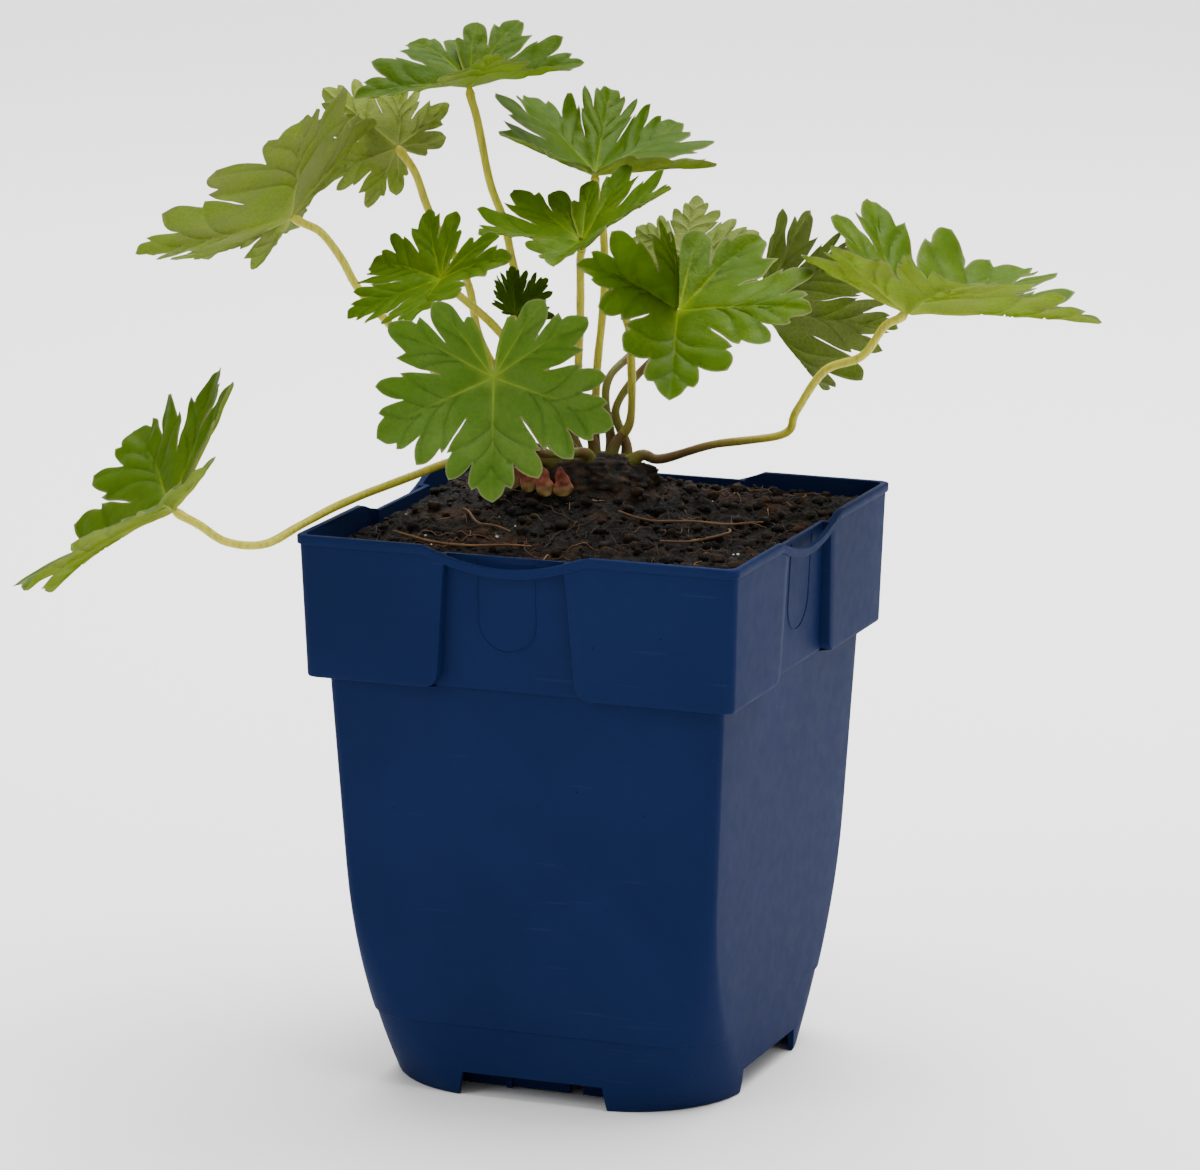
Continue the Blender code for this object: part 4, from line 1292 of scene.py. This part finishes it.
def bent_blade(leaf, flat):
    degrees = np.clip(np.degrees(np.arctan2(flat[:, 1], flat[:, 0])), -179.9, 179.9)
    reach = np.hypot(flat[:, 0], flat[:, 1])
    rise, curl, turn = (np.radians(per_lobe(degrees, v)) for v in (leaf.rise, leaf.curl, leaf.turn))
    bend = np.where(np.abs(curl) < 0.001, 0.001, curl) / leaf.size
    far = reach * leaf.size
    height = (np.cos(rise) - np.cos(rise + bend * far)) / bend
    out = (np.sin(rise + bend * far) - np.sin(rise)) / bend
    off_lobe = np.abs((degrees[:, None] - LOBE_WAYS + 180) % 360 - 180).min(1)
    height += FOLD * 2 * far * np.sin(np.radians(off_lobe)) * np.minimum(1.0, reach)
    way = np.radians(degrees) + turn
    along, across, normal = (np.array(v) for v in leaf_axes(leaf))
    return np.array(leaf.hub) + np.outer(out * np.cos(way), along) + np.outer(out * np.sin(way), across) \
        + np.outer(height, normal)


def sheet_normals(points, faces):
    facing = np.cross(points[faces[:, 1]] - points[faces[:, 0]], points[faces[:, 2]] - points[faces[:, 0]])
    normals = np.zeros_like(points)
    for corner in range(3):
        np.add.at(normals, faces[:, corner], facing)
    return normals / np.linalg.norm(normals, axis=1)[:, None]


front = bent_blade(LEAVES["front_low"], FLAT)
print("front leaf spans", [round(float(v), 1) for v in front.max(0) - front.min(0)], "mm")

# %% [markdown]
# ## A blade with two sides
# A blade is about 0.35 mm thick, and its upper and under sides look different: glossy green above, pale and
# matt below. So the bent sheet is given a top and an underside joined round the edge, with one finish each.
# The sheet is puckered between its veins and waves a little towards its edge, by amounts seeded per leaf.

# %% Build a two-sided blade
BLADE_THICKNESS = 0.34
USUAL_SIZE = 32.0
GROOVE, PUCKER, RIB, WAVE = 0.22, 0.42, 0.34, 0.75
BLADE_FACES = [tuple(int(i) for i in f) for f in FACES]
RIM = rim_of(BLADE_FACES)
OUT = np.hypot(*FLAT.T)


def slow_noise(spots, scale, seed):
    return np.array([noise.noise(Vector((x * scale, y * scale, seed))) for x, y in spots])


def build_blade(name, leaf, number):
    growth = leaf.size / USUAL_SIZE
    seed = number * 7.3
    warp = 0.014 * np.stack([slow_noise(FLAT, 3.1, seed), slow_noise(FLAT, 3.1, seed + 50)], 1)
    sheet = bent_blade(leaf, FLAT + warp * np.minimum(1.0, OUT * 2)[:, None])
    normals = sheet_normals(sheet, FACES)
    near_edge = np.exp(-EDGE / 0.08) * np.minimum(1.0, OUT * 1.5)
    ripple = WAVE * near_edge * slow_noise(FLAT, 6.5, number * 3.1 + 9)
    ripple += 0.25 * slow_noise(FLAT, 9.0, number + 0.5)
    pucker = PUCKER * (QUILT * (0.55 + 0.45 * (1 - near_edge)) - 0.5)
    relief = growth * (pucker - GROOVE * np.maximum(MAIN, 0.8 * SIDE) + ripple)
    middle = sheet + normals * relief[:, None]
    thick = BLADE_THICKNESS * growth * (0.35 + 0.65 * np.minimum(1.0, EDGE / 0.02))
    top = middle + normals * (thick / 2)[:, None]
    ribs = growth * RIB * np.maximum(MAIN, 0.55 * SIDE)
    under = middle - normals * (thick / 2 + ribs)[:, None]
    count = len(FLAT)
    faces = BLADE_FACES + [tuple(i + count for i in f[::-1]) for f in BLADE_FACES]
    sides = [(a, a + count, b + count, b) for a, b in zip(RIM, RIM[1:] + RIM[:1])]
    piece = make_piece(f"blade_{name}", np.vstack([top, under]), faces + sides, LEAF_FINISHES[leaf.finish],
                       [f"leaf_{name}"], soft_edge=60)
    piece.data.polygons.foreach_set("material_index", [0] * len(FACES) + [1] * len(FACES) + [0] * len(sides))
    for label, values in (("main_vein", MAIN), ("side_vein", SIDE), ("edge", EDGE / 0.06), ("out", OUT)):
        paint(piece, label, np.minimum(1.0, np.tile(values, 2)))
    return piece


print("rim of the flat blade has", len(RIM), "points")

# %% [markdown]
# ## Leaf finishes
# Green leaves are lit twice: by what falls on them, and by what shines through them, which comes out
# yellower. So each side mixes a satin surface with a translucent one. The main veins are yellow-green near
# the stalk and fade outwards, side veins are painted darker as painted shade of their grooves, and the edge
# has a fine dull line. Young leaves are a vivid yellow green, old ones a bluish mid green, and every
# underside is pale and matt with a net of raised veins.

# %% Leaf finish recipes
VEIN_NET_SCALE = 620
EDGE_LINE = (0.230, 0.210, 0.105)
Shade = namedtuple("Shade", "deep fresh vein through")


def blade_finish(name, shade, gloss=0.42, net=0.35, glow=0.36):
    """A satin surface mixed with a translucent one, both greener between the veins."""
    r = Recipe(name)
    blotch = r.ease(r.grain(95, 3), 0.36, 0.66)
    fine = r.ease(r.cells(VEIN_NET_SCALE, "DISTANCE_TO_EDGE"), 0.0, 0.16, 1.0, 0.0)
    green = r.mix(blotch, shade.deep, shade.fresh)
    green = r.mix(r.times(fine, net * 0.22), green, shade.vein)
    # Side veins are painted darker, on the underside too: painted shade of the grooves they lie in above.
    groove_shade = tuple(0.45 * c for c in shade.deep)
    green = r.mix(r.times(r.painted("side_vein"), 0.55), green, groove_shade)
    fade = r.ease(r.painted("out"), 0.10, 0.75, 0.85, 0.10)
    green = r.mix(r.times(r.painted("main_vein"), fade), green, shade.vein)
    green = r.mix(r.ease(r.painted("out"), 0.02, 0.16, 0.45, 0.0), green, shade.vein)
    r.colour(r.mix(r.ease(r.painted("edge"), 0.0, 0.24, 0.65, 0.0), green, EDGE_LINE))
    r.roughen(r.grain(500, 2), gloss, gloss + 0.14)
    r.bump(r.plus(r.times(fine, -net), r.times(r.grain(1600, 3), 0.35)), 0.10)
    r.set(Specular_IOR_Level=0.06)
    glowing = r.node("ShaderNodeBsdfTranslucent")
    seen_through = r.mix(blotch, shade.through, shade.fresh)
    r.wire(r.mix(r.times(r.painted("main_vein"), 0.6), seen_through, shade.vein), glowing.inputs["Color"])
    both = r.node("ShaderNodeMixShader")
    both.inputs[0].default_value = glow
    r.wire(r.shader.outputs[0], both.inputs[1])
    r.wire(glowing.outputs[0], both.inputs[2])
    r.wire(both.outputs[0], r.out.inputs["Surface"])
    return r.finish


print("each shade gives", ", ".join(Shade._fields))

# %% The shades of both sides
TOPS = {
    "mature": Shade((0.052, 0.118, 0.012), (0.090, 0.172, 0.022), (0.250, 0.345, 0.035), (0.25, 0.40, 0.012)),
    "fresh": Shade((0.036, 0.080, 1e-4), (0.070, 0.130, 2e-4), (0.200, 0.280, 0.003), (0.30, 0.46, 0.001)),
    "shaded": Shade((0.062, 0.104, 0.005), (0.104, 0.158, 0.009), (0.230, 0.300, 0.028), (0.22, 0.33, 0.005)),
    "deep": Shade((0.030, 0.066, 2e-4), (0.054, 0.104, 4e-4), (0.160, 0.240, 0.004), (0.22, 0.37, 0.001)),
}
# The "shaded" underside, used by the two leaves at the back, is painted darker than the others: painted
# shade.
UNDERSIDES = {
    "mature": Shade((0.175, 0.222, 0.030), (0.255, 0.310, 0.060), (0.450, 0.480, 0.120), (0.44, 0.56, 0.008)),
    "fresh": Shade((0.165, 0.232, 0.012), (0.240, 0.318, 0.024), (0.420, 0.460, 0.070), (0.44, 0.58, 0.003)),
    "shaded": Shade((0.115, 0.155, 0.026), (0.170, 0.215, 0.044), (0.330, 0.370, 0.100), (0.28, 0.38, 0.008)),
}
UNDERSIDES["deep"] = UNDERSIDES["fresh"]
LEAF_FINISHES = {
    name: (blade_finish(f"leaf_{name}", shade),
           blade_finish(f"underside_{name}", UNDERSIDES[name], gloss=0.62, net=0.9, glow=0.42))
    for name, shade in TOPS.items()
}
print("leaf finishes:", ", ".join(LEAF_FINISHES))

# %% Build every blade
for number, (name, leaf) in enumerate(LEAVES.items()):
    blade = build_blade(name, leaf, number)
print("each blade has", len(blade.data.polygons), "faces")

# %% [markdown]
# ## Stalks
# A stalk is a slightly flattened round stem, about 2 mm thick, yellow-green under the leaf and olive to red
# brown towards the crown. It swells a little where it joins the blade and where it sheathes the crown, and
# it is covered in fine pale hairs. The path is the solid stalk's, carried up into the blade and down into
# the crown.

# %% Stalk paths
STALK_RADIUS = 0.95
STALK_FOOT_RADIUS = 1.75
STALK_POINTS = 110
STALK_SIDES = 16
HAIRS_PER_STALK = 170
YOUNG_SHARE = 0.72
PLAIN_BROWN = 0.78
BROWNED = {"far_right": 1.0, "back_right": 1.6, "back_mid": 1.6, "mid_left": 1.2, "front_low": 1.3}
STALKS = {
    "front_low": ((-8, -34, 160), (-10, -23, 152), (-13, -4, 142)),
    "far_right": ((60, 24, 171), (55, 23, 164), (46, 23, 160), (39, 24, 150), (35, 26, 144),
        (19, 23, 141), (7, 22, 137)),
    "top": ((-36, 16, 214), (-33, 16, 200), (-30, 17, 191), (-28, 20, 177), (-21, 22, 154)),
    "upper_back_left": ((-48, 8, 202), (-45, 10, 192), (-38, 14, 177), (-35, 15, 163), (-26, 17, 147)),
    "upper_left": ((-62, -14, 191), (-58, -12, 185), (-54, -10, 177), (-44, -6, 165), (-30, 3, 148)),
    "upper_mid": ((-9, 26, 189), (-8, 24, 174), (-9, 22, 157)),
    "bright_mid": ((-6, 4, 185), (-8, 9, 172), (-10, 13, 151)),
    "mid_left": ((-28, -17, 180), (-22, -5, 169), (-15, 6, 152)),
    "bright_right": ((12, 0, 177), (2, 8, 177), (2, 14, 168), (1, 18, 159), (0, 20, 146)),
    "back_right": ((10, 38, 165), (1, 31, 158), (-5, 24, 148)),
    "back_mid": ((1, 49, 165), (-6, 36, 158), (-9, 28, 152)),
    "far_left": ((-71, -62, 132), (-66, -59, 128), (-59, -54, 127), (-54, -45, 130), (-49, -33, 133),
        (-41, -16, 136), (-31, 0, 139)),
    "young": ((-22, 6, 168), (-21, 9, 156), (-17, 12, 146)),
}


def stalk_path(leaf, points, foot):
    normal = leaf_axes(leaf)[2]
    hub = Vector(leaf.hub)
    socket, facing = crown_top(*foot)
    turn_in = hub.lerp(Vector(points[0]), 0.3) - normal * 0.8
    last = Vector(points[-1])
    rise = (last - socket).normalized() * 0.6 + facing * 0.4
    route = [hub - normal * 0.4, turn_in, *points, socket + rise * 3.0, socket - rise * 1.4]
    return smooth_path(route, STALK_POINTS)


print("the stalk with the most bends:", max(STALKS, key=lambda name: len(STALKS[name])))

# %% Stalk finish and hairs
def stalk_finish():
    r = Recipe("leaf_stalk")
    down = r.painted("down")
    young = r.mix(r.grain(160, 3), (0.430, 0.430, 0.030), (0.600, 0.530, 0.060))
    old = r.mix(r.grain(240, 3), (0.070, 0.040, 0.012), (0.140, 0.085, 0.026))
    tone = r.mix(r.ease(down, 0.38, 0.86), young, old)
    base = r.mix(r.ease(down, 0.93, 0.99, 0.0, 0.8), tone, (0.120, 0.130, 0.015))
    streak = r.ease(r.grain(1500, 2, (1.0, 1.0, 0.12)), 0.45, 0.7, 0.0, 0.35)
    r.colour(r.mix(streak, base, (0.120, 0.070, 0.030)))
    r.bump(r.grain(1500, 3, (1.0, 1.0, 0.12)), 0.12)
    r.set(Roughness=0.46, Subsurface_Weight=0.20, Subsurface_Scale=0.0012, Specular_IOR_Level=0.2)
    return r.finish


HAIR_FACES = ((0, 1, 2), (0, 3, 1), (1, 3, 2), (2, 3, 0))
HAIR_THICKNESS = 0.045
HAIR_LENGTHS = (0.35, 0.85)


def add_hairs(points, faces, down, path, radii, number):
    """Fine tapering hairs that stand out from the stalk, each three-sided and closed."""
    pick = np.random.default_rng(200 + number)
    for _ in range(HAIRS_PER_STALK):
        k = int(pick.integers(6, len(path) - 8))
        along = (path[k + 1] - path[k]).normalized()
        out = Matrix.Rotation(pick.uniform(0, 2 * pi), 3, along) @ along.orthogonal().normalized()
        root = path[k] + out * radii[k] * 0.97
        tip = root + (out + along * pick.uniform(-0.5, 0.2)).normalized() * pick.uniform(*HAIR_LENGTHS)
        side, other = out.cross(along) * HAIR_THICKNESS, along * HAIR_THICKNESS
        hair = [root + side, root - side * 0.5 + other, root - side * 0.5 - other, tip]
        add_shape(points, faces, hair, HAIR_FACES)
        down += [k / len(path)] * 4


def stalk_radii(name, number):
    last = STALK_POINTS - 1
    radii = []
    for k in range(STALK_POINTS):
        swell = 1.0 + 0.32 * exp(-(k / 3.0) ** 2) + 0.05 * noise.noise(Vector((k * 0.12, number, 0)))
        tip = min(1.0, 0.45 + 0.3 * k)
        sheath = (STALK_FOOT_RADIUS - STALK_RADIUS) * (k / last) ** 14
        radii.append(STALK_RADIUS * tip * swell + sheath)
    return [r * YOUNG_SHARE for r in radii] if name == "young" else radii


stem_green = stalk_finish()
print("stalk finish has", len(stem_green.node_tree.nodes), "nodes")

# %% Build every stalk
for number, (name, between) in enumerate(STALKS.items()):
    path = stalk_path(LEAVES[name], between, STALK_FEET[name])
    radii = stalk_radii(name, number)
    points, faces = skin(tube_rings(path, radii, STALK_SIDES, 0.10, number * 3.0))
    down = [k / (STALK_POINTS - 1) for k in range(STALK_POINTS) for _ in range(STALK_SIDES)]
    add_hairs(points, faces, down, path, radii, number)
    solid = f"petiole_{name}"
    stalk = make_piece(f"stalk_{name}", points, faces, [stem_green], [solid], soft_edge=70)
    aged = BROWNED.get(name, PLAIN_BROWN)
    paint(stalk, "down", [min(1.0, d * aged) if d < 0.9 else d for d in down])
print("stalks:", len(STALKS), "with", len(stalk.data.polygons), "faces each")

# %% [markdown]
# ## Floor, light and camera
# The pot stands on a plain pale floor that sweeps up far behind into a plain backdrop, with no line between
# them. A large soft light hangs above, a little behind and to the right, so the leaves glow and the pot's
# front stays deep. Two weaker ones fill from the front left and the right, one lights the backdrop, and a
# pale sky fills the rest, so the only shadow is soft and close round the foot. All this is so much larger
# than the plant that it is measured in metres. The camera looks a little down from the right of the front.

# %% Floor and backdrop
def plain_finish():
    r = Recipe("pale_floor")
    r.set(Base_Color=(0.90, 0.90, 0.895, 1), Roughness=0.9, Specular_IOR_Level=0.1)
    return r.finish


SWEEP_TURN = radians(21.246)
SWEEP_FRONT = -2.6
SWEEP_START = 1.7
SWEEP_RADIUS = 1.5
SWEEP_TOP = 3.6
SWEEP_HALF_WIDTH = 3.4


def backdrop():
    away = Vector((-sin(SWEEP_TURN), cos(SWEEP_TURN), 0))
    across = Vector((cos(SWEEP_TURN), sin(SWEEP_TURN), 0))
    bend = [a * pi / 32 for a in range(17)]
    curve = [(SWEEP_START + SWEEP_RADIUS * sin(a), SWEEP_RADIUS * (1 - cos(a))) for a in bend]
    profile = [(SWEEP_FRONT, 0.0), *curve, (SWEEP_START + SWEEP_RADIUS, SWEEP_TOP)]
    points = [away * out + across * side + Vector((0, 0, up))
              for out, up in profile for side in (-SWEEP_HALF_WIDTH, SWEEP_HALF_WIDTH)]
    mesh = bpy.data.meshes.new("backdrop")
    mesh.from_pydata(points, [], [(2 * k, 2 * k + 1, 2 * k + 3, 2 * k + 2) for k in range(len(profile) - 1)])
    mesh.materials.append(plain_finish())
    mesh.polygons.foreach_set("use_smooth", [True] * len(mesh.polygons))
    sweep = bpy.data.objects.new("backdrop", mesh)
    bpy.context.scene.collection.objects.link(sweep)
    return sweep


sweep = backdrop()
print("backdrop has", len(sweep.data.polygons), "faces")

# %% Lights and sky
SKY_COLOUR = (1.0, 1.0, 0.99, 1)
SKY_STRENGTH = 0.55
SOFT_LIGHTS = {
    "overhead_softbox": ((0.20, 0.22, 1.25), (0, 0, 0.1), 1.2, 36.0),
    "right_fill": ((1.15, -0.35, 0.65), (0, 0, 0.1), 0.8, 3.0),
    "left_fill": ((-0.9, -1.1, 0.9), (0, 0, 0.15), 0.9, 10.0),
    "backdrop_glow": ((-0.4, 1.15, 1.6), (-0.6, 1.75, 0.0), 1.6, 60.0),
}
for name, (place, aim, size, power) in SOFT_LIGHTS.items():
    data = bpy.data.lights.new(name, "AREA")
    data.size = size
    data.energy = power
    lamp = bpy.data.objects.new(name, data)
    lamp.location = place
    lamp.rotation_euler = (Vector(aim) - Vector(place)).to_track_quat("-Z", "Y").to_euler()
    bpy.context.scene.collection.objects.link(lamp)
sky = bpy.data.worlds.new("pale_sky")
sky.use_nodes = True
sky.node_tree.nodes["Background"].inputs["Color"].default_value = SKY_COLOUR
sky.node_tree.nodes["Background"].inputs["Strength"].default_value = SKY_STRENGTH
bpy.context.scene.world = sky
print("lights:", len(SOFT_LIGHTS))

# %% Camera
TARGET = Vector((0.3, 0.0, 111.3))
TO_CAMERA = Vector((0.35381, -0.90985, 0.21680))
RIGHT = Vector((0.93201, 0.36243, 0.0))
CAMERA_AWAY = 1385.8
LENS = 182.3
SENSOR_WIDTH = 36.0

lens = bpy.data.cameras.new("camera")
lens.sensor_fit = "HORIZONTAL"
lens.sensor_width = SENSOR_WIDTH
lens.lens = LENS
lens.clip_start, lens.clip_end = 0.05, 20.0
camera = bpy.data.objects.new("camera", lens)
facing = Matrix((RIGHT, TO_CAMERA.cross(RIGHT), TO_CAMERA)).transposed().to_4x4()
stand = (TARGET + POT_AXIS + TO_CAMERA * CAMERA_AWAY) * MM
camera.matrix_world = Matrix.Translation(stand) @ facing
bpy.context.scene.collection.objects.link(camera)
bpy.context.scene.camera = camera
print("camera is", round(CAMERA_AWAY), "mm from the pot")

# %% [markdown]
# ## Sizes
# The looks mustn't change the size of the object.
